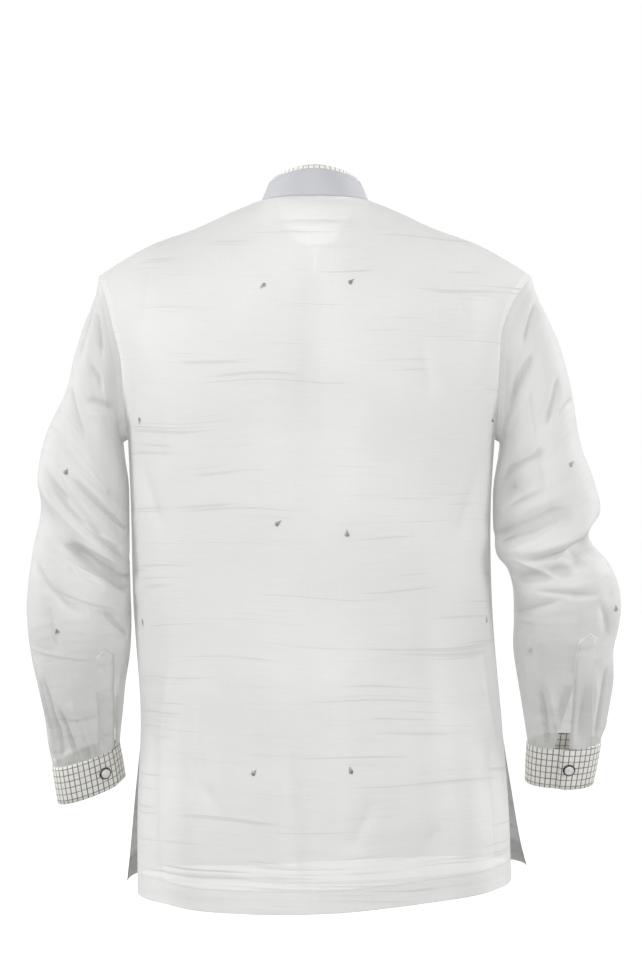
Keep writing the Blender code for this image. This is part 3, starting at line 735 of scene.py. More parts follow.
@dataclass(frozen=True)
class TorsoForm:
    """The worn form of the body of the shirt, in millimetres. Its tables are those of the solids.

    Attributes:
        sections: Height, left x, right x, back depth and front depth.
        back_flare: How far the back's slit corners stand out: left x, left y, right x, right y.
        front_flare: The same for the front.
        hem_rise: Share across from left to right, and how far the hem lies above hem_z.
        shoulder: Points along the shoulder seam from the neck to the tip.
        armhole: Height share from underarm to tip, left x, right x and half depth.
        neck_share: Share across at which the shoulder seam meets the neck.
        roundness: 2 for an oval body, more for a squarer one.
        neck_back: Depth and height of the neck's lowest point behind.
        neck_front: The same in front.
        span: Length across one face, by which shares of the creases are turned into millimetres.
        neck_zone: Share to each side of the neck's corners in which the ridge below them is eased.
        neck_free: Distance below the top edge from which the cloth is eased in full.
        underarm_zone: Height above and below the underarm within which its ridge is eased.
    """

    hem_z: float = -733.0
    underarm_z: float = -234.0
    slit_top_z: float = -545.0
    neck_share: float = 0.34375
    roundness: float = 2.35
    front_hem_lift: float = 5.0
    sections: Table = (
        (-733, 196, -217, 148, -150),
        (-634, 196, -214, 148, -149),
        (-545, 193, -207, 146, -147),
        (-412, 201, -196, 141, -146),
        (-301, 204, -195, 137, -144),
        (-234, 207, -199, 131, -138),
    )
    back_flare: tuple[float, ...] = (0.0, 6.0, 0.0, 6.0)
    front_flare: tuple[float, ...] = (15.0, -26.0, -21.0, -30.0)
    hem_rise: Table = (
        (0.0, 0), (0.1, 2), (0.17, 2.5), (0.27, -1), (0.5, 1), (0.65, 7), (0.8, 13), (1.0, 17),
    )
    shoulder: Table = (
        (60, 4, 30), (72, 3, 26), (128, 0, 1), (183, -3, -19), (216, -4, -37), (240, -5, -52),
    )
    armhole: Table = (
        (0.0, 207.0, -199.0, 0.0),
        (0.25, 209.0, -200.0, 47.0),
        (0.5, 212.5, -201.5, 54.0),
        (0.66, 220.0, -205.0, 51.0),
        (0.85, 229.0, -220.0, 38.0),
        (1.0, 240.0, -240.0, 0.0),
    )
    neck_back: tuple[float, float] = (64.0, 29.0)
    neck_front: tuple[float, float] = (-72.0, -45.0)
    span: float = 560.0
    neck_zone: float = 0.13
    neck_free: float = 26.0
    underarm_zone: float = 70.0

    def _angle(self, u: Array) -> Array:
        """Angles of the underarm section at even shares of its length."""
        angle = np.linspace(0, math.pi, 721)
        x = 203 * power(np.cos(angle), 2 / self.roundness)
        y = 133 * np.abs(np.sin(angle)) ** (2 / self.roundness)
        length = lengths(np.stack((x, y), -1), 0)
        return np.interp(u, length / length[-1], angle)

    def lower(self, face: Face, u: Array, z: Array) -> Array:
        """Finds points below the underarm.

        Args:
            face: Back or front.
            u: Share across, from 0 on the left to 1 on the right.
            z: Height.

        Returns:
            The points.
        """
        front = face is Face.FRONT
        angle = self._angle(u)
        left, right, back_depth, front_depth = np.moveaxis(smooth(self.sections, z), -1, 0)
        depth = front_depth if front else back_depth
        share = np.clip((self.slit_top_z - z) / (self.slit_top_z - self.hem_z), 0, 1) ** 1.5
        left_out, left_y, right_out, right_y = self.front_flare if front else self.back_flare
        left = left + left_out * share
        right = right + right_out * share
        edge_y = (left_y + (right_y - left_y) * u) * share
        x = (left + right) / 2 + (left - right) / 2 * power(np.cos(angle), 2 / self.roundness)
        y = edge_y + (depth - edge_y) * np.abs(np.sin(angle)) ** (2 / self.roundness)
        near = 1 - np.clip((z - self.hem_z) / 100, 0, 1)
        rise = smooth(self.hem_rise, u)[..., 0] + (self.front_hem_lift if front else 0)
        return np.stack((x, y, z + rise * near**2), -1)

    def neckline(self, face: Face, u: Array) -> Array:
        """Finds points of the neck edge, with u from 0 on the left to 1 on the right."""
        depth, low = self.neck_front if face is Face.FRONT else self.neck_back
        side_x, side_y, side_z = self.shoulder[0]
        reach = np.sin(math.pi * u)
        x = side_x * np.cos(math.pi * u)
        y = side_y + (depth - side_y) * reach
        z = side_z + (low - side_z) * (reach**1.5 if face is Face.FRONT else reach)
        return np.stack((x, y, z), -1)

    def top_edge(self, face: Face, u: Array) -> Array:
        """Finds points of the top edge: shoulder seam, neck, shoulder seam."""
        seam = np.asarray(self.shoulder, float)
        along = lengths(seam, 0)
        mirrored = np.where(u > 0.5, 1 - u, u)
        table = np.column_stack((along / along[-1], seam))
        found = smooth(table, np.clip(1 - mirrored / self.neck_share, 0, 1))
        found[..., 0] = np.where(u > 0.5, -found[..., 0], found[..., 0])
        inner = np.clip((u - self.neck_share) / (1 - 2 * self.neck_share), 0, 1)
        outside = (mirrored < self.neck_share - 1e-9)[..., None]
        return np.where(outside, found, self.neckline(face, inner))

    def armhole_edge(self, v: Array, side: Side, front: Array | bool) -> Array:
        """Finds points of an armhole edge from underarm, v 0, to shoulder tip, v 1."""
        turn = np.pi * (np.asarray(v, float) - 0.5)
        share = (1 + np.sin(turn)) / 2
        left_x, right_x, _ = np.moveaxis(smooth(self.armhole, share), -1, 0)
        depth = np.where(front, -57.0, 54.0) * np.cos(turn)
        tip = self.shoulder[-1]
        z = self.underarm_z + (tip[2] - self.underarm_z) * share
        x = right_x if side is Side.RIGHT else left_x
        return np.stack((x, depth + tip[1] * share, z), -1)

    def upper(self, face: Face, u: Array, v: Array) -> Array:
        """Finds points above the underarm, with v from 0 there to 1 at the top edge."""
        level = np.full_like(u, self.underarm_z)
        foot = self.lower(face, u, level)
        top = self.top_edge(face, u)
        quarter = v * math.pi / 2
        mix = np.stack((v, 1 - np.cos(quarter), np.sin(quarter)), -1)
        point = foot + (top - foot) * mix
        for side, edge in ((Side.LEFT, 0.0), (Side.RIGHT, 1.0)):
            at_edge = np.full_like(u, edge)
            start = self.lower(face, at_edge, level)
            plain = start + (self.top_edge(face, at_edge) - start) * mix
            near = np.clip(2 * u - 1 if edge else 1 - 2 * u, 0, 1) ** 2.2
            seam = self.armhole_edge(v, side, face is Face.FRONT)
            point = point + near[..., None] * (seam - plain)
        return point

    def surface(self, face: Face, u: Array, q: Array, folds: Table, creases: Table = ()) -> Array:
        """Finds points of the creased cloth.

        Args:
            face: Back or front.
            u: Share across, from 0 on the left to 1 on the right.
            q: 0 to 1 from hem to underarm, and 1 to 2 above it.
            folds: Soft folds, as start share across, start height, end share, end height, half
                width and depth outwards.
            creases: Sharper ones in the same columns.

        Returns:
            The points.
        """
        u, q = np.broadcast_arrays(np.asarray(u, float), np.asarray(q, float))
        rise = self.underarm_z - self.hem_z
        low = self.lower(face, u, self.hem_z + rise * np.clip(q, 0, 1))
        point = np.where((q > 1)[..., None], self.upper(face, u, np.clip(q - 1, 0, 1)), low)
        push = np.zeros_like(u)
        for table, sharp in ((folds, 2.0), (creases, 1.35)):
            for a, za, b, zb, half_width, depth in table:
                line = (a * self.span, za, b * self.span, zb, half_width)
                push = push + depth * near_line(u * self.span, point[..., 2], line, sharp)
        push = push * np.clip(np.minimum(u, 1 - u) / 0.12, 0, 1) * np.clip((2 - q) / 0.3, 0, 1)
        angle = self._angle(u)
        turn = -1 if face is Face.FRONT else 1
        away = np.stack((np.cos(angle), np.sin(angle) * turn, np.zeros_like(u)), -1)
        return point + push[..., None] * away

    def eased(self, grid: Array, u: Array) -> Array:
        """Eases the ridge that runs down from each corner of the neck, and the one between the underarms.

        Args:
            grid: Points of a whole panel, rows from the hem up.
            u: Share across of each point.

        Returns:
            The points, unchanged along the top edge.
        """
        below = np.linalg.norm(grid - grid[-1:], axis=-1)[..., None]
        free = np.clip(below / self.neck_free, 0, 1)
        soft = grid
        for _ in range(240):
            beside = np.concatenate((soft[:, :1], (soft[:, :-2] + soft[:, 2:]) / 2, soft[:, -1:]), 1)
            soft = soft + (beside - soft) * 0.5 * free
        off = np.minimum(np.abs(u - self.neck_share), np.abs(1 - self.neck_share - u))
        zone = 0.5 + 0.5 * np.cos(np.pi * np.clip(off / self.neck_zone, 0, 1))
        grid = grid + (soft - grid) * np.broadcast_to(zone, grid.shape[:2])[..., None]
        soft = grid
        for _ in range(80):
            soft = softened(soft, 0)
        near = np.clip(1 - np.abs(grid[..., 2] - self.underarm_z) / self.underarm_zone, 0, 1)
        inner = np.clip(np.minimum(u, 1 - u) / 0.08, 0, 1)
        return grid + (soft - grid) * (near * near * (3 - 2 * near) * inner)[..., None]

    def shares_at(self, x: float, q: Array, folds: Table) -> Array:
        """Finds the share across the front at which it reaches x, at each level."""
        shares = np.linspace(0.3, 0.7, 81)
        rows = self.surface(Face.FRONT, shares[None, :], np.asarray(q)[:, None], folds)[..., 0]
        return np.array([np.interp(-x, -row, shares) for row in rows])


@dataclass(frozen=True)
class SleeveForm:
    """The worn form of one sleeve, in millimetres. Its tables are those of the solids.

    Attributes:
        side: Left or right.
        rings: Place along, outer x, outer z, inner x, inner z, middle y, half depth and tilt.
        folds: Start angle, start place, end angle, end place, half width and depth outwards. Angle
            0 is the outer side, 90 the back and 180 the inner side.
        creases: Sharper ones in the same columns.
        twist: Place and degrees that the columns turn, so that one follows the cuff slit.
        slit_angle: Angle of the cuff slit.
        slit_gape: Degrees that the slit stands open at the cuff.
        band_start: Place at which the slit's band begins.
        cloth_start: Where the sleeve lies on the length of cloth, so that no two pieces share slubs.
        slit_start: Place at which the slit begins.
        reach: Length of the sleeve.
        crease_gain: How much deeper than its table's depth a crease lies.
    """

    side: Side
    torso: TorsoForm
    rings: Table
    folds: Table
    creases: Table
    twist: Table
    slit_angle: float
    slit_gape: float
    band_start: float
    cloth_start: float
    slit_start: float = 0.84
    reach: float = 600.0
    crease_gain: float = 1.7

    def ring_point(self, row: Array, angle: Array) -> Array:
        """Finds a point of an oval ring from its row and an angle in radians."""
        outer_x, outer_z, inner_x, inner_z, middle_y, depth, tilt = np.moveaxis(np.asarray(row), -1, 0)
        c = power(np.cos(angle), 0.94)
        s = power(np.sin(angle), 0.94)
        lean = np.radians(tilt)
        x = (outer_x + inner_x) / 2 + c * (outer_x - inner_x) / 2
        y = middle_y + s * depth * np.cos(lean)
        z = (outer_z + inner_z) / 2 + c * (outer_z - inner_z) / 2 - s * depth * np.sin(lean)
        return np.stack((x, y, z), -1)

    def seam_point(self, base: Array) -> Array:
        """Finds the armhole seam at an angle: from the tip by the back to the underarm and on."""
        turn = np.asarray(base, float) % 360
        v = np.abs(turn / 180 - 1)
        return self.torso.armhole_edge(v, self.side, turn > 180)

    def surface(self, base: Array, place: Array) -> Array:
        """Finds points of the creased sleeve.

        Args:
            base: Angle in degrees that stays in one column.
            place: 0 at the armhole and 1 at the cuff.

        Returns:
            The points.
        """
        base, place = np.broadcast_arrays(np.asarray(base, float), np.asarray(place, float))
        opened = np.clip((place - self.slit_start) / (1 - self.slit_start), 0, 1) ** 1.2
        twist = smooth(self.twist, place)[..., 0]
        past = np.clip(1 - ((base - self.slit_angle) % 360) / 75, 0, 1)
        angle = np.radians(base + twist + self.slit_gape * opened * past)
        point = self.ring_point(smooth(self.rings, place), angle)
        first = self.ring_point(smooth(self.rings, np.zeros_like(place)), np.radians(base))
        hold = np.clip(1 - place / 0.16, 0, 1) ** 2
        point = point + (self.seam_point(base) - first) * hold[..., None]
        return point + self._push(angle, place)[..., None] * self._away(angle)

    def _away(self, angle: Array) -> Array:
        """Directions out of the sleeve, level with its rings."""
        side = -1 if self.side is Side.RIGHT else 1
        return np.stack((side * np.cos(angle), np.sin(angle), -0.25 * np.sin(angle)), -1)

    def _push(self, angle: Array, place: Array) -> Array:
        """Adds up the folds and creases at each point."""
        push = np.zeros_like(place)
        across = (np.degrees(angle) % 360) * 0.95
        for table, sharp, gain in ((self.folds, 2.0, 1.0), (self.creases, 1.4, self.crease_gain)):
            for a, start, b, end, half_width, depth in table:
                line = (a * 0.95, start * self.reach, b * 0.95, end * self.reach, half_width)
                push = push + gain * depth * near_line(across, place * self.reach, line, sharp)
        push = push * np.clip(place / 0.08, 0, 1) * np.clip((1 - place) / 0.04, 0, 1)
        inner = np.clip(-np.cos(angle) - 0.55, 0, 0.45) / 0.45
        return np.where(push > 0, push * (1 - inner), push)


def left_sleeve_form(torso: TorsoForm) -> SleeveForm:
    """The left sleeve's tables."""
    return SleeveForm(
        side=Side.LEFT,
        torso=torso,
        rings=(
            (0.00, 240, -52, 207, -234, -2, 54, 0),
            (0.05, 243, -73, 213, -239, 0, 56, 0),
            (0.11, 254, -101, 211, -256, 2, 58, 0),
            (0.18, 265, -135, 206.8, -281, 4, 58, 0),
            (0.26, 275, -180, 205.6, -303, 7, 58, 1),
            (0.34, 296, -226, 204.9, -325, 11, 58, 2),
            (0.43, 305, -275, 204.2, -350, 17, 57, 3),
            (0.50, 301, -310, 203.6, -372, 22, 56, 4),
            (0.58, 311, -361, 202.8, -402, 22, 56, 6),
            (0.68, 318, -423, 202.5, -440, 12, 57, 9),
            (0.77, 315, -476, 206, -476, -6, 55, 12),
            (0.84, 309, -512, 212, -508, -21, 52, 12),
            (0.90, 304, -546, 215.5, -534, -36, 47, 11),
            (0.95, 302, -575, 219, -557, -48, 42, 9),
            (1.00, 298, -602.8, 221.8, -577.8, -60, 36, 8),
        ),
        folds=(
            (55, 0.36, 170, 0.46, 17, 6),
            (25, 0.42, 175, 0.53, 17, 6),
            (40, 0.40, 170, 0.49, 13, -5),
            (80, 0.52, 175, 0.57, 16, -9),
            (110, 0.56, 178, 0.60, 14, 5),
            (20, 0.08, 28, 0.19, 15, -5),
            (40, 0.90, 70, 0.97, 15, -5),
            (178, 0.68, 150, 0.88, 14, 4),
            (200, 0.45, 300, 0.56, 18, -8),
            (190, 0.55, 320, 0.66, 18, 6),
            (230, 0.74, 300, 0.92, 16, -5),
        ),
        creases=(
            (40, 0.062, 76, 0.068, 5, -3.0),
            (63, 0.145, 91, 0.10, 8, -2.4),
            (70, 0.21, 119, 0.06, 4, -1.7),
            (79, 0.215, 130, 0.05, 4, 1.5),
            (30, 0.24, 80, 0.27, 6, -1.6),
            (87, 0.325, 178, 0.31, 7, 2.8),
            (70, 0.36, 170, 0.365, 6, -2.2),
            (77, 0.415, 108, 0.45, 6, 2.6),
            (108, 0.45, 176, 0.44, 6, 2.6),
            (85, 0.50, 150, 0.505, 5, 1.8),
            (69, 0.53, 178, 0.53, 7, -3.6),
            (28, 0.58, 96, 0.645, 8, -2.0),
            (60, 0.635, 72, 0.73, 7, -1.8),
            (120, 0.63, 168, 0.70, 7, -2.4),
            (149, 0.78, 144, 0.90, 4.5, 2.4),
            (144, 0.90, 160, 1.0, 4.5, 2.4),
            (122, 0.83, 132, 1.0, 5, -3.6),
            (61, 0.86, 87, 1.0, 4.5, -3.4),
            (81, 0.85, 104, 1.0, 4, 2.8),
            (45, 0.80, 54, 1.0, 5, -3.0),
            (34, 0.80, 44, 1.0, 5, 2.6),
            (18, 0.76, 30, 1.0, 5, -3.0),
            (212, 0.50, 262, 0.53, 8, -3.0),
            (230, 0.40, 290, 0.43, 7, 2.6),
            (230, 0.60, 300, 0.64, 7, -2.6),
            (300, 0.08, 250, 0.12, 8, -2.4),
            (310, 0.25, 250, 0.36, 9, -2.4),
            (215, 0.85, 224, 1.0, 5, 2.6),
            (246, 0.83, 252, 1.0, 6, -3.0),
            (276, 0.86, 280, 1.0, 5, 2.6),
            (330, 0.80, 338, 1.0, 6, -2.8),
        ),
        twist=((0.0, 0), (0.5, -2), (0.72, -3.5), (1.0, 10)),
        slit_angle=8.5 * SLEEVE_FACET,
        slit_gape=8.0,
        band_start=0.72,
        cloth_start=900.0,
    )


def right_sleeve_form(torso: TorsoForm) -> SleeveForm:
    """The right sleeve's tables."""
    return SleeveForm(
        side=Side.RIGHT,
        torso=torso,
        rings=(
            (0.00, -240, -52, -199, -234, -2, 54, 0),
            (0.05, -246, -73, -205, -239, 0, 56, 0),
            (0.11, -258, -100, -203, -256, 2, 58, 0),
            (0.17, -270, -128, -198.4, -281, 4, 59, 0),
            (0.25, -283, -177, -196.8, -308, 8, 60, 2),
            (0.34, -293, -238, -196.7, -330, 14, 60, 3),
            (0.42, -308, -283, -197.0, -348, 22, 58, 4),
            (0.47, -313, -310, -200, -362, 28, 57, 5),
            (0.53, -300, -340, -210, -375, 32, 56, 7),
            (0.59, -322, -369, -216, -392, 30, 57, 9),
            (0.66, -336, -400, -219, -414, 18, 58, 11),
            (0.72, -338, -430, -220, -440, 4, 57, 12),
            (0.79, -333, -466, -221, -468, -14, 54, 12),
            (0.87, -332, -509, -229, -509, -40, 49, 12),
            (0.93, -330, -540, -236, -543, -60, 43, 10),
            (1.00, -327.0, -577.5, -243.0, -579.0, -80, 37, 8),
        ),
        folds=(
            (150, 0.16, 100, 0.34, 18, -5),
            (175, 0.26, 60, 0.40, 17, 5),
            (170, 0.36, 70, 0.44, 15, -6),
            (150, 0.46, 40, 0.50, 18, 9),
            (10, 0.53, 70, 0.55, 16, -12),
            (160, 0.56, 60, 0.57, 15, -8),
            (30, 0.62, 50, 0.78, 17, -5),
            (190, 0.38, 300, 0.50, 18, -8),
            (200, 0.52, 330, 0.58, 18, 7),
            (250, 0.74, 320, 0.92, 16, -5),
        ),
        creases=(
            (24, 0.06, 70, 0.068, 6, -3.2),
            (67, 0.11, 112, 0.05, 9, -2.8),
            (90, 0.13, 145, 0.05, 8, 2.4),
            (44, 0.205, 76, 0.24, 7, -2.6),
            (10, 0.27, 63, 0.25, 5, -1.7),
            (140, 0.18, 79, 0.285, 6, -2.0),
            (140, 0.295, 88, 0.35, 5, -2.4),
            (160, 0.41, 96, 0.43, 6, -2.2),
            (137, 0.46, 77, 0.44, 8, 2.4),
            (139, 0.485, 94, 0.585, 5, 2.0),
            (111, 0.515, 2, 0.555, 7, -3.2),
            (172, 0.675, 100, 0.635, 8, -1.8),
            (128, 0.60, 60, 0.64, 7, -2.0),
            (60, 0.66, 30, 0.75, 8, -2.0),
            (178, 0.905, 152, 0.945, 5, 2.4),
            (152, 0.945, 167, 1.0, 5, 2.4),
            (113, 0.84, 100, 1.0, 4.5, 2.4),
            (125, 0.86, 121, 1.0, 4.5, -3.2),
            (69, 0.84, 75, 1.0, 4.5, -3.2),
            (56, 0.82, 58, 1.0, 5, 2.8),
            (36, 0.82, 38, 1.0, 5, -3.2),
            (18, 0.80, 22, 1.0, 6, 2.6),
            (212, 0.44, 270, 0.48, 8, -3.0),
            (225, 0.36, 290, 0.39, 7, 2.6),
            (230, 0.58, 300, 0.61, 7, -2.6),
            (300, 0.08, 245, 0.12, 8, -2.4),
            (300, 0.22, 240, 0.33, 9, -2.4),
            (215, 0.85, 222, 1.0, 5, 2.6),
            (246, 0.83, 252, 1.0, 6, -3.0),
            (276, 0.86, 280, 1.0, 5, 2.6),
            (330, 0.80, 338, 1.0, 6, -2.8),
        ),
        twist=((0.0, 0), (0.5, -3), (0.72, -6.5), (1.0, -2)),
        slit_angle=5.5 * SLEEVE_FACET,
        slit_gape=21.0,
        band_start=0.722,
        cloth_start=1700.0,
    )


BACK_FOLDS: Table = (
    (0.50, -40, 0.49, -240, 22, -5),
    (0.36, -70, 0.42, -330, 26, 4),
    (0.66, -90, 0.60, -300, 24, 4),
    (0.20, -330, 0.24, -733, 30, 5),
    (0.34, -480, 0.36, -733, 30, -6),
    (0.53, -430, 0.56, -733, 32, 5),
    (0.70, -400, 0.69, -733, 28, -6),
    (0.80, -330, 0.80, -733, 26, 4),
)
BACK_CREASES: Table = (
    (0.62, -118, 0.64, -172, 9, -2.6),
    (0.66, -120, 0.68, -180, 8, -3.4),
    (0.735, -132, 0.745, -189, 8, -3.0),
    (0.37, -110, 0.345, -180, 10, -2.4),
    (0.125, -42, 0.095, -116, 10, -1.2),
    (0.81, -43, 0.865, -118, 10, -1.2),
    (0.12, -250, 0.19, -330, 11, -2.8),
    (0.88, -250, 0.80, -345, 11, -3.0),
    (0.18, -193, 0.20, -269, 9, -2.0),
    (0.20, -488, 0.16, -558, 7, 3.0),
    (0.815, -488, 0.90, -561, 7, 3.0),
    (0.86, -451, 0.87, -538, 8, 2.2),
    (0.265, -511, 0.245, -616, 12, -2.4),
    (0.265, -601, 0.32, -636, 6, -3.0),
    (0.60, -613, 0.55, -665, 9, -2.6),
    (0.73, -648, 0.645, -688, 9, -2.6),
    (0.14, -560, 0.17, -725, 9, -2.8),
    (0.86, -560, 0.87, -720, 9, -3.0),
    (0.44, -560, 0.46, -728, 10, -2.4),
)
FRONT_FOLDS: Table = (
    (0.22, -150, 0.20, -733, 30, 5),
    (0.34, -330, 0.37, -733, 30, -6),
    (0.67, -330, 0.64, -733, 30, -6),
    (0.80, -200, 0.81, -733, 28, 5),
)
FRONT_CREASES: Table = (
    (0.14, -240, 0.22, -320, 11, -3.0),
    (0.87, -245, 0.79, -335, 11, -3.0),
    (0.28, -90, 0.26, -200, 10, -2.8),
    (0.73, -95, 0.76, -210, 10, -2.8),
    (0.20, -130, 0.16, -190, 8, -2.6),
    (0.82, -120, 0.85, -185, 8, -2.6),
    (0.30, -420, 0.27, -520, 10, 2.4),
    (0.72, -400, 0.74, -505, 10, 2.4),
    (0.13, -540, 0.15, -722, 9, -3.0),
    (0.87, -520, 0.88, -722, 9, -3.0),
    (0.34, -600, 0.30, -660, 8, -2.6),
    (0.66, -610, 0.71, -668, 8, -2.6),
)


@dataclass(frozen=True)
class Stitching:
    """Rows of machine stitches, in millimetres.

    Attributes:
        finish: The thread.
        length: Length of a stitch.
        pitch: From one stitch to the next.
        thick: How thick the thread is.
    """

    finish: Finish
    length: float = 2.3
    pitch: float = 3.0
    thick: float = 0.42

    def row(self, name: str, lines: list[tuple[Array, Array]]) -> None:
        """Sews stitches along lines, as one piece.

        Args:
            name: The piece's name.
            lines: Points of each line with the cloth's normals there.
        """
        points, faces = [], []
        for line, normal in lines:
            along = lengths(line, 0)
            for start in np.arange(0.6, along[-1] - self.length, self.pitch):
                ends = self._read(line, along, start + self.length * np.array((0, 0.5, 1)))
                out = self._read(normal, along, np.array([start + self.length / 2]))[0]
                run = unit(ends[2] - ends[0])
                across = unit(np.cross(run, out)) * self.thick / 2
                first = len(points)
                lift = out * self.thick * 0.7
                points += [ends[0], ends[1] + across, ends[1] + lift, ends[1] - across, ends[2]]
                faces += [(first, first + 1, first + 2), (first, first + 2, first + 3)]
                faces += [(first + 4, first + 2, first + 1), (first + 4, first + 3, first + 2)]
                faces += [(first, first + 3, first + 4, first + 1)]
        dress(new_object(name, np.array(points) * MM, faces), self.finish, "sheer_cloth")

    def _read(self, rows: Array, along: Array, at: Array) -> Array:
        """Reads points of a line at lengths along it."""
        return np.stack([np.interp(at, along, rows[:, i]) for i in range(3)], -1)


def dress(piece: Piece, finish: Finish, slot: str, *nodes: str) -> Piece:
    """Gives a piece its finish, its body and the solids that it stands for.

    Args:
        piece: The piece.
        finish: Its material.
        slot: Name of a material slot; not used.
        nodes: Solids that it replaces.

    Returns:
        The piece.
    """
    if not piece.data.materials:
        piece.data.materials.append(finish)
    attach(piece, "root")
    if nodes:
        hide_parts(*nodes)
    log.info("%s: %d points", piece.name, len(piece.data.vertices))
    return piece


@dataclass(frozen=True)
class TorsoCloth:
    """Back and fronts of the body with their hems, in millimetres.

    Attributes:
        columns: Columns of the back, a multiple of 32 so that one meets the corner of the neck.
        hem: Depth of the doubled hem.
        hem_gap: Distance between its two layers.
        seam: Width of the seam allowances.
        slit_hem: Width of the narrow hems down the side slits.
        placket_half: Where the fronts end, from the middle.
        inset: How far the cloth lies below the solid's face.
    """

    form: TorsoForm
    cloth: Finish
    doubled: Finish
    stitching: Stitching
    columns: int = 192
    rows_below: int = 130
    rows_above: int = 70
    hem: float = 25.0
    hem_gap: float = 0.7
    seam: float = 7.0
    slit_hem: float = 11.0
    placket_half: float = 16.0
    inset: float = 0.3

    def levels(self) -> Array:
        """Levels of the grid, from the hem up."""
        below = np.linspace(0, 1, self.rows_below)
        return np.concatenate((below, np.linspace(1, 2, self.rows_above)[1:]))

    def back_grid(self) -> Array:
        """Points of the back."""
        u = np.linspace(0, 1, self.columns + 1)[None, :]
        grid = self.form.surface(Face.BACK, u, self.levels()[:, None], BACK_FOLDS, BACK_CREASES)
        return self.form.eased(grid, u)

    def front_grid(self, side: Side) -> Array:
        """Points of one front, as far as the placket."""
        q = self.levels()
        form = self.form
        mirrored = side is Side.RIGHT
        edge = form.shares_at(-self.placket_half if mirrored else self.placket_half, q, FRONT_FOLDS)
        reach = 1 - edge if mirrored else edge
        even = np.linspace(0, 1, self.columns // 2 + 1)
        neck = even[int(round(2 * form.neck_share * (self.columns // 2)))]
        inner = (even[None, :] - neck) / (1 - neck) * (reach[:, None] - form.neck_share)
        u = np.where(even[None, :] <= neck, even[None, :] / 2, form.neck_share + inner)
        u = 1 - u[:, ::-1] if mirrored else u
        return form.eased(form.surface(Face.FRONT, u, q[:, None], FRONT_FOLDS, FRONT_CREASES), u)

    def places(self, grid: Array, start: float) -> Array:
        """Where the points of a panel lie on its flat cloth.

        Args:
            grid: Points of the panel.
            start: Place of its middle on the cloth.

        Returns:
            Places across and along.
        """
        across = lengths(grid, 1, flat=True)
        middle = across[:, across.shape[1] // 2][:, None]
        return np.stack((start + across - middle, grid[..., 2]), -1)

    def band(self, grid: Array, sides: Sequence[str]) -> Array:
        """Distance from the seams over the width of their allowance."""
        across = lengths(grid, 1)
        above = lengths(grid, 0)
        width = np.where(grid[..., 2] < self.form.slit_top_z, self.slit_hem, self.seam)
        found = np.full(across.shape, 9.0)
        if "first" in sides:
            found = np.minimum(found, across / width)
        if "last" in sides:
            found = np.minimum(found, (across[:, -1:] - across) / width)
        at_shoulder = np.abs(grid[-1, :, 0]) > self.form.shoulder[0][0]
        return np.minimum(found, np.where(at_shoulder, (above[-1] - above) / self.seam, 9.0))

    def panel(
        self, name: str, grid: Array, outward: int, sides: Sequence[str], start: float
    ) -> Piece:
        """Makes one panel of the body.

        Args:
            name: The piece's name.
            grid: Its points.
            outward: The sign that makes its faces look out of the shirt.
            sides: Which of its first and last columns are seams.
            start: Place of its middle on the cloth.

        Returns:
            The panel.
        """
        lowered = grid - normals(grid, outward) * self.inset
        places, band = self.places(grid, start), self.band(grid, sides)
        return grid_sheet(name, lowered, places, outward, self.cloth, band)

    def hem_piece(self, name: str, grid: Array, outward: int, start: float) -> Piece:
        """Makes the turned-up hem inside a panel, with the fold at its lower edge.

        Args:
            name: The piece's name.
            grid: Points of the panel.
            outward: The sign that makes its faces look out of the shirt.
            start: Place of its first column on the cloth.

        Returns:
            The hem.
        """
        normal = normals(grid, outward)
        up = lengths(grid, 0)
        count = int(np.searchsorted(up[:, up.shape[1] // 2], self.hem, side="right"))
        fold = self.hem_gap / 2
        rows = [grid[0] - normal[0] * self.inset, grid[0] - normal[0] * (self.inset + fold) - UP * fold]
        heights = [0.0, fold]
        share = (self.hem - up[count - 1]) / (up[count] - up[count - 1])
        levels = [grid[i] for i in range(count)]
        ways = [normal[i] for i in range(count)]
        levels.append(grid[count - 1] + (grid[count] - grid[count - 1]) * share[:, None])
        ways.append(unit(normal[count - 1] + normal[count]))
        rows += [level - way * (self.inset + self.hem_gap) for level, way in zip(levels, ways)]
        heights += [self.hem_gap + float(height) for height in up[:count, up.shape[1] // 2]] + [self.hem]
        turned = np.stack(rows)
        across = lengths(turned, 1, flat=True)
        down = np.broadcast_to(self.form.hem_z - np.array(heights)[:, None], across.shape)
        places = np.stack((across + start, down), -1)
        piece = grid_sheet(name, turned, places, outward, self.doubled)
        line = levels[-1] - UP * 1.5 - ways[-1] * 0.2
        self.stitching.row(f"stitches_{name.removeprefix('cloth_')}", [(line, ways[-1])])
        return piece

    def build(self) -> None:
        """Builds the back, the two fronts and their hems."""
        back = self.back_grid()
        left = self.front_grid(Side.LEFT)
        right = self.front_grid(Side.RIGHT)
        panels = (
            ("back", back, 1, ("first", "last"), 0.0, (0.574, 0.775), 0.405),
            ("front_left", left, -1, ("first",), 140.0, (0.275, 0.775), 0.185),
            ("front_right", right, -1, ("last",), 420.0, (0.275, 0.775), 0.185),
        )
        for name, grid, outward, sides, start, flat, area in panels:
            piece = self.panel(f"cloth_{name}", grid, outward, sides, start)
            hem = self.hem_piece(f"cloth_hem_{name}", grid, outward, start)
            flat[0] - 0.02


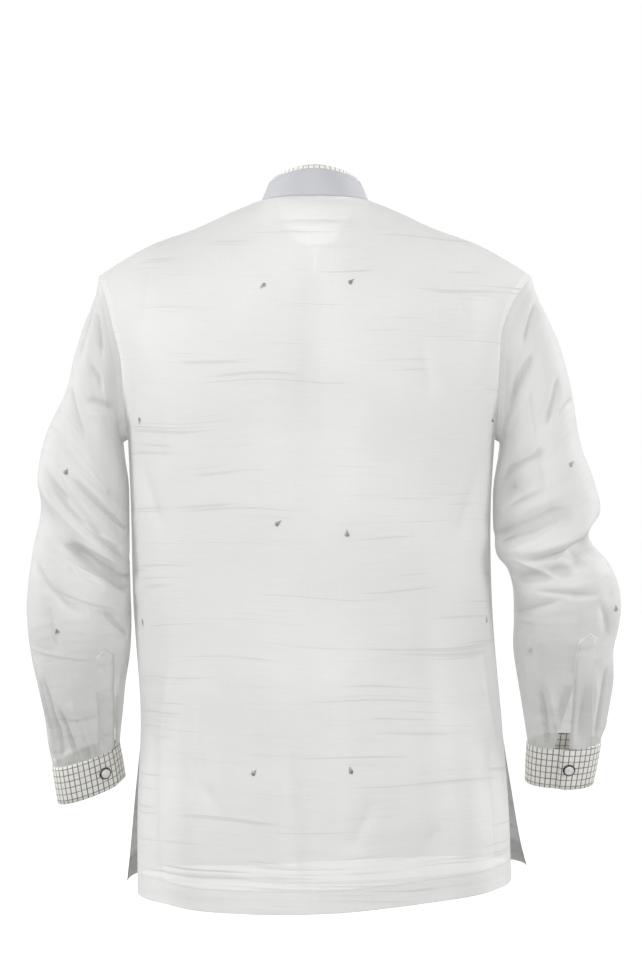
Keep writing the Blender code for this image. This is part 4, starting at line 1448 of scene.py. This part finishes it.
@dataclass(frozen=True)
class FrontPlacket:
    """The two bands of the front opening, in millimetres.

    Attributes:
        levels: Levels of the fronts' grid.
        half: Half the width of the outer band.
        rise: How far it stands over the fronts.
        lip: How far its edges reach past that width.
        hem: How far the stitches lie inside its edges.
        under_left: Left edge of the band under it.
        under_right: Its right edge.
        sink: How far it lies below the outer one.
        foot: Level at which it ends.
    """

    form: TorsoForm
    cloth: Finish
    stitching: Stitching
    levels: Array
    half: float = 17.0
    rise: float = 0.6
    lip: float = 0.4
    hem: float = 2.5
    under_left: float = 13.0
    under_right: float = -24.0
    sink: float = 1.6
    foot: float = 0.055

    def strip(self, places: Sequence[float], q: Array) -> tuple[Array, Array]:
        """Points and normals of a strip of the front between places across."""
        u = np.column_stack([self.form.shares_at(x, q, FRONT_FOLDS) for x in places])
        grid = self.form.surface(Face.FRONT, u, q[:, None], FRONT_FOLDS, FRONT_CREASES)
        return grid, normals(grid, -1)

    def build(self) -> tuple[Array, Array]:
        """Builds both bands.

        Returns:
            Points and normals along the middle of the outer band, for its buttons.
        """
        q = self.levels
        across = self.half * np.array((1, 1, 0.55, 0, -0.55, -1, -1))
        grid, normal = self.strip(across, q)
        rise = self.rise
        lift = np.array((-0.1, rise - 0.1, rise, rise, rise, rise - 0.1, -0.1))
        raised = grid + normal * lift[None, :, None]
        raised[:, 0, 0] += self.lip
        raised[:, -1, 0] -= self.lip
        places = np.stack((-raised[..., 0], raised[..., 2]), -1)
        over = grid_sheet("cloth_placket_over", raised, places, -1, self.cloth)
        lines = []
        for x in (self.half - self.hem, self.hem - self.half):
            line, way = self.strip((x + 0.5, x, x - 0.5), q)
            lines.append((line[:, 1] + way[:, 1] * rise, way[:, 1]))
        self.stitching.row("stitches_placket", lines)
        inner = q[np.searchsorted(q, self.foot):]
        wide = np.linspace(self.under_left, self.under_right, 6)
        low, way = self.strip(wide, inner)
        low = low - way * self.sink
        under = grid_sheet("cloth_placket_under", low, low[..., ::2], -1, self.cloth)
        return raised[:, 3], normal[:, 3]


@dataclass(frozen=True)
class Sleeve:
    """One sleeve with its cuff slit, pointed band and underlap, in millimetres.

    Attributes:
        columns: Columns round the sleeve.
        rows: Rows along it.
        seam: Width of the seam allowances.
        inset: How far the cloth lies below the solid's face.
        band_width: Width of the pointed band.
        band_rise: How far the band stands over the sleeve.
        point: How much of the sleeve's length the band's point takes.
        underlap: Width of the underlap.
        end: Place at which both strips end, inside the cuff.
        girth: Width of the sleeve on its flat cloth.
    """

    form: SleeveForm
    cloth: Finish
    doubled: Finish
    stitching: Stitching
    columns: int = 192
    rows: int = 270
    seam: float = 7.0
    inset: float = 0.3
    band_width: float = 22.0
    band_rise: float = 0.85
    point: float = 0.0165
    underlap: float = 9.0
    end: float = 0.998
    girth: float = 350.0

    @property
    def side(self) -> str:
        """The side's name."""
        return self.form.side.value

    @property
    def outward(self) -> int:
        """The sign that makes the normals look out."""
        return 1 if self.form.side is Side.RIGHT else -1

    def build(self) -> None:
        """Builds the sleeve's sheet and its two bands."""
        slit = self.form.slit_angle
        base = slit + np.linspace(0, 360, self.columns + 1)
        base[-1] -= 1e-6
        place = np.linspace(0, 1, self.rows)
        grid = self.form.surface(base[None, :], place[:, None])
        joined = place < self.form.slit_start
        normal = normals(grid, self.outward)
        lowered = grid - normal * self.inset
        angle = np.broadcast_to(base[None, :] % 360, grid.shape[:2])
        around = np.abs(angle - 180) / 360 * self.girth
        above = lengths(grid, 0)
        band = np.minimum(around / self.seam, above / (self.seam + 1.5))
        across = np.broadcast_to((base[None, :] - slit) / 360 * self.girth, grid.shape[:2])
        along = np.broadcast_to(place[:, None] * -self.form.reach, grid.shape[:2])
        places = np.stack((across + self.form.cloth_start, along), -1)
        name = f"cloth_sleeve_{self.side}"
        piece = grid_sheet(name, lowered, places, self.outward, self.cloth, band, joined)
        self.bands()

    def degree(self, place: Array) -> Array:
        """Length of one degree of the sleeve at places along it."""
        row = smooth(self.form.rings, place)
        return math.pi / 180 * (np.abs(row[:, 0] - row[:, 2]) / 2 + row[:, 5]) / 2

    def strip(self, at: Array, place: Array, lift: Array) -> tuple[Array, Array]:
        """Points of a strip laid on the sleeve.

        Args:
            at: Angle of each point, rows by columns.
            place: Place of each row.
            lift: Height of each point over the cloth.

        Returns:
            The points and the normals.
        """
        wide = np.broadcast_to(place[:, None], at.shape)
        fine = 0.6
        here = self.form.surface(at, wide)
        step_a = self.form.surface(at + fine, wide) - self.form.surface(at - fine, wide)
        step_p = self.form.surface(at, wide + 0.001) - self.form.surface(at, wide - 0.001)
        normal = unit(np.cross(step_a, step_p)) * self.outward
        return here + normal * lift[..., None], normal

    def bands(self) -> None:
        """Builds the pointed band over the slit and the underlap below its other edge."""
        start = self.form.band_start
        tip = start + self.point * np.linspace(0.2, 1, 5)
        place = np.concatenate(([start], tip, np.linspace(start + 0.03, self.end, 60)))
        half = self.band_width / 2 / self.degree(place)
        reach = half * np.clip((place - start) / self.point, 0.04, 1)
        spread = np.array((-1.02, -1.0, -0.5, 0.0, 0.5, 1.0, 1.02))
        at = self.form.slit_angle - half[:, None] - 0.6 + reach[:, None] * spread[None, :]
        rise = self.band_rise
        rises = np.array((-0.1, rise - 0.1, rise, rise, rise, rise - 0.1, -0.1))
        lift = np.broadcast_to(rises, at.shape).copy()
        lift[0] = -0.1
        grid, normal = self.strip(at, place, lift)
        along = np.broadcast_to(-place[:, None] * self.form.reach, at.shape)
        places = np.stack((spread[None, :] * reach[:, None], along), -1)
        name = f"cloth_placket_sleeve_{self.side}"
        piece = grid_sheet(name, grid, places, self.outward, self.doubled)
        lines = []
        for edge in (-1, 1):
            line_at = at[:, 3:4] + edge * np.maximum(reach - 1.6 / self.degree(place), 0.2)[:, None]
            line, way = self.strip(line_at, place, np.full(line_at.shape, self.band_rise))
            lines.append((line[1:, 0], way[1:, 0]))
        cross = np.searchsorted(place, self.form.slit_start - 0.02)
        line_at = at[cross, 3] + np.linspace(-0.85, 0.85, 9)[None, :] * half[cross]
        line, way = self.strip(line_at, place[cross:cross + 1], np.full(line_at.shape, self.band_rise))
        lines.append((line[0], way[0]))
        self.stitching.row(f"stitches_placket_sleeve_{self.side}", lines)
        low = np.linspace(self.form.slit_start + 0.004, self.end, 40)
        across = np.linspace(0.02, 1, 5)[None, :] * (self.underlap / self.degree(low))[:, None]
        at = self.form.slit_angle + across
        grid, _ = self.strip(at, low, np.full(at.shape, -1.5))
        places = np.stack((across, np.broadcast_to(-low[:, None] * self.form.reach, at.shape)), -1)
        name = f"cloth_underlap_sleeve_{self.side}"
        piece = grid_sheet(name, grid, places, self.outward, self.doubled)


def start_part() -> None:
    """Deselects everything, so that the next operator acts on the new shape alone."""
    if bpy.context.mode != "OBJECT":
        bpy.ops.object.mode_set(mode="OBJECT")
    bpy.ops.object.select_all(action="DESELECT")


def choose(piece: Piece, faces: Sequence[int]) -> None:
    """Selects faces of the piece by number and goes into edit mode."""
    bpy.ops.object.mode_set(mode="OBJECT")
    mesh = piece.data
    mesh.polygons.foreach_set("select", [False] * len(mesh.polygons))
    mesh.edges.foreach_set("select", [False] * len(mesh.edges))
    mesh.vertices.foreach_set("select", [False] * len(mesh.vertices))
    for number in faces:
        mesh.polygons[number].select = True
    bpy.ops.object.mode_set(mode="EDIT")
    bpy.ops.mesh.select_mode(type="FACE")


def apply(piece: Piece, kind: str, **settings: object) -> None:
    """Adds a modifier to a piece and applies it."""
    bpy.context.view_layer.objects.active = piece
    modifier = piece.modifiers.new(kind.title(), kind)
    for key, value in settings.items():
        setattr(modifier, key, value)
    bpy.ops.object.modifier_apply(modifier=modifier.name)


def settle() -> None:
    """Writes the selected shape's place, turn and size into its points."""
    bpy.ops.object.transform_apply(location=True, rotation=True, scale=True)


def flatten(height: float) -> None:
    """Scales the selected shape's height by a share."""
    bpy.ops.object.mode_set(mode="EDIT")
    bpy.ops.mesh.select_all(action="SELECT")
    bpy.ops.transform.resize(value=(1, 1, height), center_override=(0, 0, 0))
    bpy.ops.object.mode_set(mode="OBJECT")


def join(pieces: list[Piece]) -> Piece:
    """Joins pieces into the first of them."""
    start_part()
    for piece in pieces:
        piece.select_set(True)
    bpy.context.view_layer.objects.active = pieces[0]
    bpy.ops.object.join()
    return pieces[0]


def placed_copy(piece: Piece, name: str, matrix: Matrix) -> Piece:
    """Copies a piece with its own mesh and puts the copy's points in place."""
    made = bpy.data.objects.new(name, piece.data.copy())
    made.data.transform(matrix)
    bpy.context.collection.objects.link(made)
    return made


def facing(centre: Array, normal: Array, turn: float = 0.0) -> Matrix:
    """A placing that stands a part on the cloth.

    Args:
        centre: Where it stands, in millimetres.
        normal: The way that it faces.
        turn: Degrees that it is turned about that way.

    Returns:
        The matrix in metres.
    """
    way = Vector(normal.tolist()).to_track_quat("Z", "Y").to_matrix().to_4x4()
    spin = Matrix.Rotation(math.radians(turn), 4, "Z")
    return Matrix.Translation(Vector((centre * MM).tolist())) @ way @ spin


@dataclass(frozen=True)
class Button:
    """A pearly button in a dark rim, in millimetres.

    Attributes:
        radius: Radius of the rim.
        thick: Height over the cloth.
        rim: Thickness of the rim.
    """

    name: str
    pearl: Finish
    metal: Finish
    thread: Finish
    radius: float
    thick: float
    rim: float

    def build(self) -> Piece:
        """Models the button once, standing on the origin and facing up."""
        whole = join([self._disc(), self._rim(), self._shank()])
        whole.name = self.name
        return whole

    def _disc(self) -> Piece:
        """The domed pearly disc."""
        start_part()
        radius = (self.radius - self.rim) * MM
        deep = self.thick * 0.55 * MM
        middle = (0, 0, self.thick * MM - deep / 2)
        bpy.ops.mesh.primitive_cylinder_add(vertices=40, radius=radius, depth=deep, location=middle)
        disc = bpy.context.object
        settle()
        top = max(disc.data.polygons, key=lambda face: face.normal.z * face.area).index
        choose(disc, [top])
        for inward, rise in ((0.10, 0.20), (0.14, 0.22), (0.18, 0.16), (0.20, 0.08)):
            bpy.ops.mesh.inset(thickness=radius * inward)
            bpy.ops.transform.translate(value=(0, 0, deep * rise))
        bpy.ops.object.mode_set(mode="OBJECT")
        soft = {"width": deep * 0.12, "segments": 3, "angle_limit": math.radians(40)}
        apply(disc, "BEVEL", limit_method="ANGLE", **soft)
        bpy.ops.object.shade_smooth_by_angle(angle=math.radians(50))
        disc.data.materials.append(self.pearl)
        return disc

    def _rim(self) -> Piece:
        """The dark rim that holds it."""
        start_part()
        middle = self.radius - self.rim / 2
        bpy.ops.mesh.primitive_torus_add(
            major_radius=middle * MM,
            minor_radius=self.rim / 2 * MM,
            major_segments=40,
            minor_segments=10,
            location=(0, 0, self.rim / 2 * MM),
        )
        rim = bpy.context.object
        flatten(self.thick * 0.8 / self.rim)
        settle()
        bpy.ops.object.shade_smooth_by_angle(angle=math.radians(60))
        rim.data.materials.append(self.metal)
        return rim

    def _shank(self) -> Piece:
        """The thread that holds the button to the cloth."""
        start_part()
        tall = self.thick * 0.7 * MM
        radius = self.radius * 0.24 * MM
        bpy.ops.mesh.primitive_cylinder_add(
            vertices=14, radius=radius, depth=tall, location=(0, 0, tall / 2)
        )
        shank = bpy.context.object
        settle()
        sides = [face.index for face in shank.data.polygons if abs(face.normal.z) < 0.5]
        choose(shank, sides)
        bpy.ops.mesh.subdivide(number_cuts=2)
        bpy.ops.object.mode_set(mode="OBJECT")
        for point in shank.data.vertices:
            waist = 1 - 0.22 * math.sin(math.pi * min(max(point.co.z / tall, 0), 1))
            point.co.x *= waist
            point.co.y *= waist
        bpy.ops.object.shade_smooth_by_angle(angle=math.radians(50))
        shank.data.materials.append(self.thread)
        return shank


@dataclass(frozen=True)
class Cuff:
    """One checked cuff, in millimetres.

    Attributes:
        foot: Its lower ring: outer x, outer z, inner x, inner z, middle y, half depth and tilt. The
            upper one is the sleeve's last.
        edge: Angle of the outer edge of its lap.
        button: Angle of its button.
        lap: Degrees that it laps under itself.
        sink: How far its inner end lies under the outer one.
        hem: How far the stitches lie inside its edges.
    """

    form: SleeveForm
    cloth: Finish
    stitching: Stitching
    foot: tuple[float, ...]
    edge: float
    button: float
    lap: float = 24.0
    sink: float = 2.4
    hem: float = 2.2
    columns: int = 168
    thick: float = 1.7
    corner: float = 7.0

    def ring(self, row: tuple[float, ...], angle: Array) -> Array:
        """Points of one ring of the cuff."""
        wide = np.broadcast_to(np.array(row, float), (len(angle), 7))
        return self.form.ring_point(wide, np.radians(angle))

    def build(self, button: Piece) -> None:
        """Builds the cuff and fastens its button.

        Args:
            button: The button to copy.
        """
        side = self.form.side.value
        turn = np.linspace(0, 360 + self.lap, self.columns)
        drop = np.clip(smooth(((0, 0), (300, 0), (345, 1), (384, 1)), turn)[..., 0], 0, 1) * self.sink
        angle = self.edge - turn
        low = self.ring(self.foot, angle)
        high = self.ring(self.form.rings[-1][1:], angle)
        sign = 1 if self.form.side is Side.LEFT else -1
        out = normals(np.stack((high, (low + high) / 2, low)), sign)[1]
        low = low - out * drop[:, None]
        high = high - out * drop[:, None]
        piece = stiff_band(f"cloth_cuff_{side}", low, high, out, self.thick, self.corner, 0.35)
        dress(piece, self.cloth, "checked_cloth", f"cuff_{side}")
        self._stitch(side, low, high, out)
        column = int(np.argmin(np.abs(angle - self.button)))
        middle = (low[column] + high[column]) / 2 + out[column] * (self.thick / 2 + 0.45)
        made = placed_copy(button, f"pearl_button_cuff_{side}", facing(middle, out[column], 20))
        dress(made, self.cloth, "pearl", f"button_cuff_{side}")

    def _stitch(self, side: str, low: Array, high: Array, out: Array) -> None:
        """Sews round the cuff, a little inside its edges."""
        tall = np.linalg.norm(high - low, axis=1)[:, None]
        up = (high - low) / tall
        show = slice(2, int(self.columns * 0.94))
        lines = []
        for height in (self.hem, -self.hem):
            start = low if height > 0 else high
            lines.append(((start + up * height + out * (self.thick / 2 + 0.12))[show], out[show]))
        side_line = np.linspace(low[3] + up[3] * self.hem, high[3] - up[3] * self.hem, 12)
        lines.append((side_line + out[3] * (self.thick / 2 + 0.35), np.broadcast_to(out[3], side_line.shape)))
        self.stitching.row(f"stitches_cuff_{side}", lines)


@dataclass(frozen=True)
class Collar:
    """The stand collar's grey outer and checked inner bands, in millimetres.

    Attributes:
        table: Share round the neck from the front by the left side, height and lean inwards.
        rise: How far the inner band stands above the outer one.
    """

    form: TorsoForm
    outer_cloth: Finish
    inner_cloth: Finish
    stitching: Stitching
    table: Table = (
        (0.0, 27, 3), (0.15, 25, 6), (0.3, 21, 9.5), (0.5, 30, 5.5), (0.7, 21, 9.5), (0.85, 25, 6),
        (1.0, 27, 3),
    )
    rise: float = 4.2
    gap: float = 0.8
    lift: float = 0.5
    outer_wall: float = 1.2
    inner_wall: float = 1.0

    def neck_ring(self) -> tuple[Array, Array]:
        """Points round the neck edge from the front centre by the left side, with their shares."""
        half = np.linspace(0, 1, 90)
        front = self.form.neckline(Face.FRONT, half)
        back = self.form.neckline(Face.BACK, half)
        ring = np.concatenate((front[:45][::-1], back[1:-1], front[45:][::-1]))
        length = lengths(ring, 0, flat=True)
        even = np.linspace(0, length[-1], 150)
        points = np.stack([np.interp(even, length, ring[:, i]) for i in range(3)], -1)
        return even / even[-1], points

    def build(self) -> None:
        """Builds both bands with their stitches."""
        turn, base = self.neck_ring()
        base[0, 0], base[-1, 0] = self.gap, -self.gap
        table = smooth(self.table, turn)
        inward = unit(-base * np.array((1.0, 1.0, 0.0)))
        inward[0] = inward[-1] = (0.0, 1.0, 0.0)
        bands = (
            ("collar_outer", self.lift, self.outer_wall, 0.0, self.outer_cloth, "grey_cloth", 5.0),
            (
                "collar_inner", self.lift + 2, self.inner_wall, self.rise, self.inner_cloth,
                "checked_cloth", 6.0,
            ),
        )
        for name, inset, thick, more, cloth, slot, corner in bands:
            tall = table[:, :1] + more
            middle = inward * (inset + thick / 2)
            low = base + UP * self.lift + inward * (table[:, 1:2] * self.lift / table[:, :1]) + middle
            high = base + UP * tall + inward * (table[:, 1:2] * tall / table[:, :1]) + middle
            piece = stiff_band(f"cloth_{name}", low, high, -inward, thick, corner)
            dress(piece, cloth, slot, name)
            if name == "collar_outer":
                up = unit(high - low)
                face = -inward * (thick / 2 + 0.05)
                line = high - up * 3.0 + face
                self.stitching.row("stitches_collar", [(line[3:-3], -inward[3:-3])])


@dataclass(frozen=True)
class Motifs:
    """Small embroidered drops scattered over the cloth, in millimetres.

    Attributes:
        grey: Finish of the drop.
        silver: Finish of its second half.
        pale: Finish of its outline.
        head: Radius of its round end.
        tail: How far its other end is drawn out.
        curl: How far that end curls to one side.
        raised: How far it stands over the cloth.
        outline: Half the thickness of the thread round it.
    """

    grey: Finish
    silver: Finish
    pale: Finish
    head: float = 2.3
    tail: float = 2.3
    curl: float = 2.0
    raised: float = 0.7
    outline: float = 0.3

    def model(self) -> Piece:
        """Models one drop, lying on the origin and facing up."""
        start_part()
        bpy.ops.mesh.primitive_uv_sphere_add(
            segments=20, ring_count=10, radius=self.head * MM, location=(0, 0, 0)
        )
        drop = bpy.context.object
        flatten(self.raised / self.head)
        self._draw_out(drop)
        drop.data.materials.append(self.grey)
        drop.data.materials.append(self.silver)
        for face in drop.data.polygons:
            face.material_index = int(face.center.y > 0.25 * MM)
            face.use_smooth = True
        start_part()
        bpy.ops.mesh.primitive_torus_add(
            major_radius=(self.head + self.outline) * MM,
            minor_radius=self.outline * MM,
            major_segments=28,
            minor_segments=6,
            location=(0, 0, 0),
        )
        edge = bpy.context.object
        self._draw_out(edge)
        edge.data.materials.append(self.pale)
        bpy.ops.object.shade_smooth()
        return join([drop, edge])

    def _draw_out(self, piece: Piece) -> None:
        """Draws one side of a round shape out into a curled tail."""
        for point in piece.data.vertices:
            x = point.co.x / MM
            if x > 0:
                share = min(x / self.head, 1.0)
                point.co.x = (x + self.tail * share**2) * MM
                point.co.y = point.co.y * (1 - 0.6 * share) + self.curl * share**2 * MM

    def scatter(
        self, name: str, places: Sequence[tuple[Vector, Vector, float]], model: Piece
    ) -> None:
        """Lays copies on the cloth as one piece.

        Args:
            name: The piece's name.
            places: Point, normal and turn in degrees of each.
            model: The drop to copy.
        """
        copies = []
        for i, (point, normal, turn) in enumerate(places):
            matrix = facing(np.array(point) / MM + np.array(normal) * 0.15, np.array(normal), turn)
            copies.append(placed_copy(model, f"{name}_{i}", matrix))
        whole = join(copies)
        whole.name = name
        dress(whole, self.grey, "sheer_cloth")


def on_cloth(sheet: Piece, x: float, z: float, way: float) -> tuple[Vector, Vector]:
    """Finds where a level line from outside meets a sheet.

    Args:
        sheet: The sheet of cloth.
        x: Place across, in millimetres.
        z: Height, in millimetres.
        way: 1 from the back or -1 from the front.

    Returns:
        The point in metres and the normal that looks outwards.
    """
    tree = BVHTree.FromObject(sheet, bpy.context.evaluated_depsgraph_get())
    point, normal, _, _ = tree.ray_cast(Vector((x * MM, way, z * MM)), Vector((0, -way, 0)))
    return point, normal if normal.y * way > 0 else -normal


@dataclass(frozen=True)
class Studio:
    """Pale floor, soft light and the camera, in metres.

    Attributes:
        floor_z: Height of the floor, as far below the hem as on a standing wearer.
        camera_at: Where the camera stands, level behind the shirt.
        lens: Its focal length in millimetres.
        ambient: How strongly the surroundings light the cloth.
        middle_z: Height that the lights look at.
        lights: Name, x, y, z, size and power in watts of each light behind, repeated in front.
    """

    floor_z: float = -1.50
    camera_at: tuple[float, float, float] = (-0.0067, 2.5, -0.28)
    lens: float = 84.3
    ambient: float = 0.36
    middle_z: float = -0.35
    lights: tuple[tuple[str, float, float, float, float, float], ...] = (
        ("key", 2.6, 1.4, 0.9, 0.9, 44), ("side", -2.6, 1.3, 0.3, 0.9, 28), ("fill", 0.0, 3.2, 0.2, 2.2, 39),
    )

    def build(self) -> None:
        """Builds the floor, the lights and the camera."""
        start_part()
        bpy.ops.mesh.primitive_circle_add(
            vertices=96, radius=18, fill_type="NGON", location=(0, 0, self.floor_z)
        )
        floor = bpy.context.object
        floor.name = "floor"
        settle()
        floor.data.materials.append(FloorPaint("floor_paint").make())
        floor.visible_diffuse = False
        floor.visible_glossy = False
        floor.visible_shadow = False
        self._world()
        for face, turn in (("back", 1), ("front", -1)):
            for name, x, y, z, size, power_w in self.lights:
                self._light(f"{face}_{name}", (x * turn, y * turn, z), size, power_w)
        self._camera()
        bpy.context.scene.view_settings.view_transform = "Standard"

    def _world(self) -> None:
        """Makes the studio's surroundings: white to look at, and a softer light on the cloth."""
        world = bpy.data.worlds.new("studio")
        bpy.context.scene.world = world
        world.use_nodes = True
        tree = world.node_tree
        background = tree.nodes["Background"]
        background.inputs["Color"].default_value = (1, 1, 1, 1)
        seen = Term(tree, tree.nodes.new("ShaderNodeLightPath").outputs["Is Camera Ray"])
        strength = seen * (1 - self.ambient) + self.ambient
        tree.links.new(strength.socket, background.inputs["Strength"])

    def _light(self, name: str, place: tuple[float, float, float], size: float, power_w: float) -> None:
        """Adds a soft square light that looks at the shirt.

        Args:
            name: Its name.
            place: Where it stands.
            size: Length of its sides.
            power_w: Its power in watts.
        """
        data = bpy.data.lights.new(name, "AREA")
        data.size = size
        data.energy = power_w
        light = bpy.data.objects.new(name, data)
        light.location = place
        way = Vector((0, 0, self.middle_z)) - Vector(place)
        light.rotation_euler = way.to_track_quat("-Z", "Y").to_euler()
        bpy.context.collection.objects.link(light)

    def _camera(self) -> None:
        """Adds the camera at the photograph's angle."""
        data = bpy.data.cameras.new("camera")
        data.lens = self.lens
        data.sensor_width = 36
        camera = bpy.data.objects.new("camera", data)
        camera.location = self.camera_at
        camera.rotation_euler = (math.radians(90), 0, math.radians(180))
        bpy.context.collection.objects.link(camera)
        bpy.context.scene.camera = camera


# columns: x, height and turn in degrees of the motifs seen on the back
BACK_MOTIFS: Table = (
    (54, -72, 200), (-38, -69, 20), (189, -214, 240), (-193, -214, -40), (39, -325, 20),
    (-34, -336, 70), (186, -432, 250), (-186, -431, 60), (64, -587, 30), (-38, -583, 80),
)
FRONT_MOTIFS: Table = (
    (66, -62, 40), (-56, -60, 190), (198, -214, 70), (-194, -214, 110), (52, -330, 200),
    (-50, -338, 20), (195, -446, 30), (-193, -444, 220), (74, -624, 250), (-48, -618, 60),
)
# columns: angle round the sleeve, place along it, turn in degrees
LEFT_SLEEVE_MOTIFS: Table = (
    (73, 0.36, 40), (76, 0.69, 200), (28, 0.88, 70), (250, 0.34, 20), (290, 0.6, 210), (240, 0.84, 50),
)
RIGHT_SLEEVE_MOTIFS: Table = (
    (53, 0.35, 20), (32, 0.69, 100), (250, 0.3, 200), (290, 0.58, 60), (240, 0.82, 20),
)


def main() -> None:
    """Builds every piece in order, then the studio."""
    logging.basicConfig(level=logging.INFO, format="%(relativeCreated)d ms  %(message)s")
    torso = TorsoForm()
    sheer = SheerCloth("sheer_cloth").make()
    # The sleeves' creases get a stronger painted shade than the body's.
    sleeve_cloth = SheerCloth("sheer_cloth_sleeves", cover=0.68, deep=0.42).make()
    doubled = SheerCloth("sheer_cloth_doubled", cover=0.76, seam_cover=0.0, tone=(0.88, 0.88, 0.865)).make()
    checked = CheckedCloth("checked_cloth").make()
    checked_inner = CheckedCloth("checked_cloth_inner", start=3.4, ink=(0.36, 0.365, 0.37)).make()
    grey = PlainCloth("grey_cloth", (0.595, 0.607, 0.632)).make()
    thread = Thread("sewing_thread", (0.80, 0.80, 0.78)).make()
    drop_grey = Thread("motif_grey", (0.30, 0.305, 0.31), 0.3).make()
    drop_silver = Thread("motif_silver", (0.48, 0.485, 0.49), 0.4).make()
    drop_pale = Thread("motif_outline", (0.82, 0.82, 0.80)).make()
    pearl = Pearl("pearl").make()
    metal = DarkMetal("dark_rim").make()
    stitching = Stitching(thread)

    small = Button("small_button", pearl, metal, thread, 5.5, 2.2, 0.7).build()
    large = Button("large_button", pearl, metal, thread, 7.1, 2.7, 1.8).build()
    motifs = Motifs(drop_grey, drop_silver, drop_pale)
    model = motifs.model()

    body = TorsoCloth(torso, sheer, doubled, stitching)
    body.build()
    placket = FrontPlacket(torso, sheer, stitching, body.levels())
    middle, ways = placket.build()

    for number, height in enumerate((-75, -180, -285, -390, -495, -600), 1):
        row = int(np.argmin(np.abs(middle[:, 2] - height)))
        seat = facing(middle[row] + ways[row] * 0.3, ways[row], 17 * number)
        made = placed_copy(small, f"pearl_button_front_{number}", seat)
        dress(made, pearl, "pearl", f"button_front_{number}")

    left = left_sleeve_form(torso)
    right = right_sleeve_form(torso)
    for form in (left, right):
        Sleeve(form, sleeve_cloth, doubled, stitching).build()
    left_foot = (293.4, -645.5, 216.3, -618, -76, 36, 8)
    right_foot = (-320.0, -626, -242.5, -624.5, -98, 37, 8)
    Cuff(left, checked, stitching, left_foot, edge=148.0, button=120.0).build(large)
    Cuff(right, checked, stitching, right_foot, edge=98.5, button=84.0).build(large)
    Collar(torso, grey, checked_inner, stitching).build()

    for face, table, way in (("back", BACK_MOTIFS, 1), ("front", FRONT_MOTIFS, -1)):
        places = []
        for x, z, turn in table:
            name = "cloth_back" if way > 0 else f"cloth_front_{'left' if x > 0 else 'right'}"
            places.append((*on_cloth(bpy.data.objects[name], x, z, way), turn))
        motifs.scatter(f"motifs_{face}", places, model)
    for form, table in ((left, LEFT_SLEEVE_MOTIFS), (right, RIGHT_SLEEVE_MOTIFS)):
        places = []
        sleeve = Sleeve(form, sleeve_cloth, doubled, stitching)
        for angle, place, turn in table:
            at = np.array([[float(angle)]])
            point, normal = sleeve.strip(at, np.array([float(place)]), np.zeros((1, 1)))
            places.append((Vector((point[0, 0] * MM).tolist()), Vector(normal[0, 0].tolist()), turn))
        motifs.scatter(f"motifs_sleeve_{form.side.value}", places, model)
    for spare in (small, large, model):
        bpy.data.objects.remove(spare)

    Studio().build()


if __name__ == "__main__":
    main()
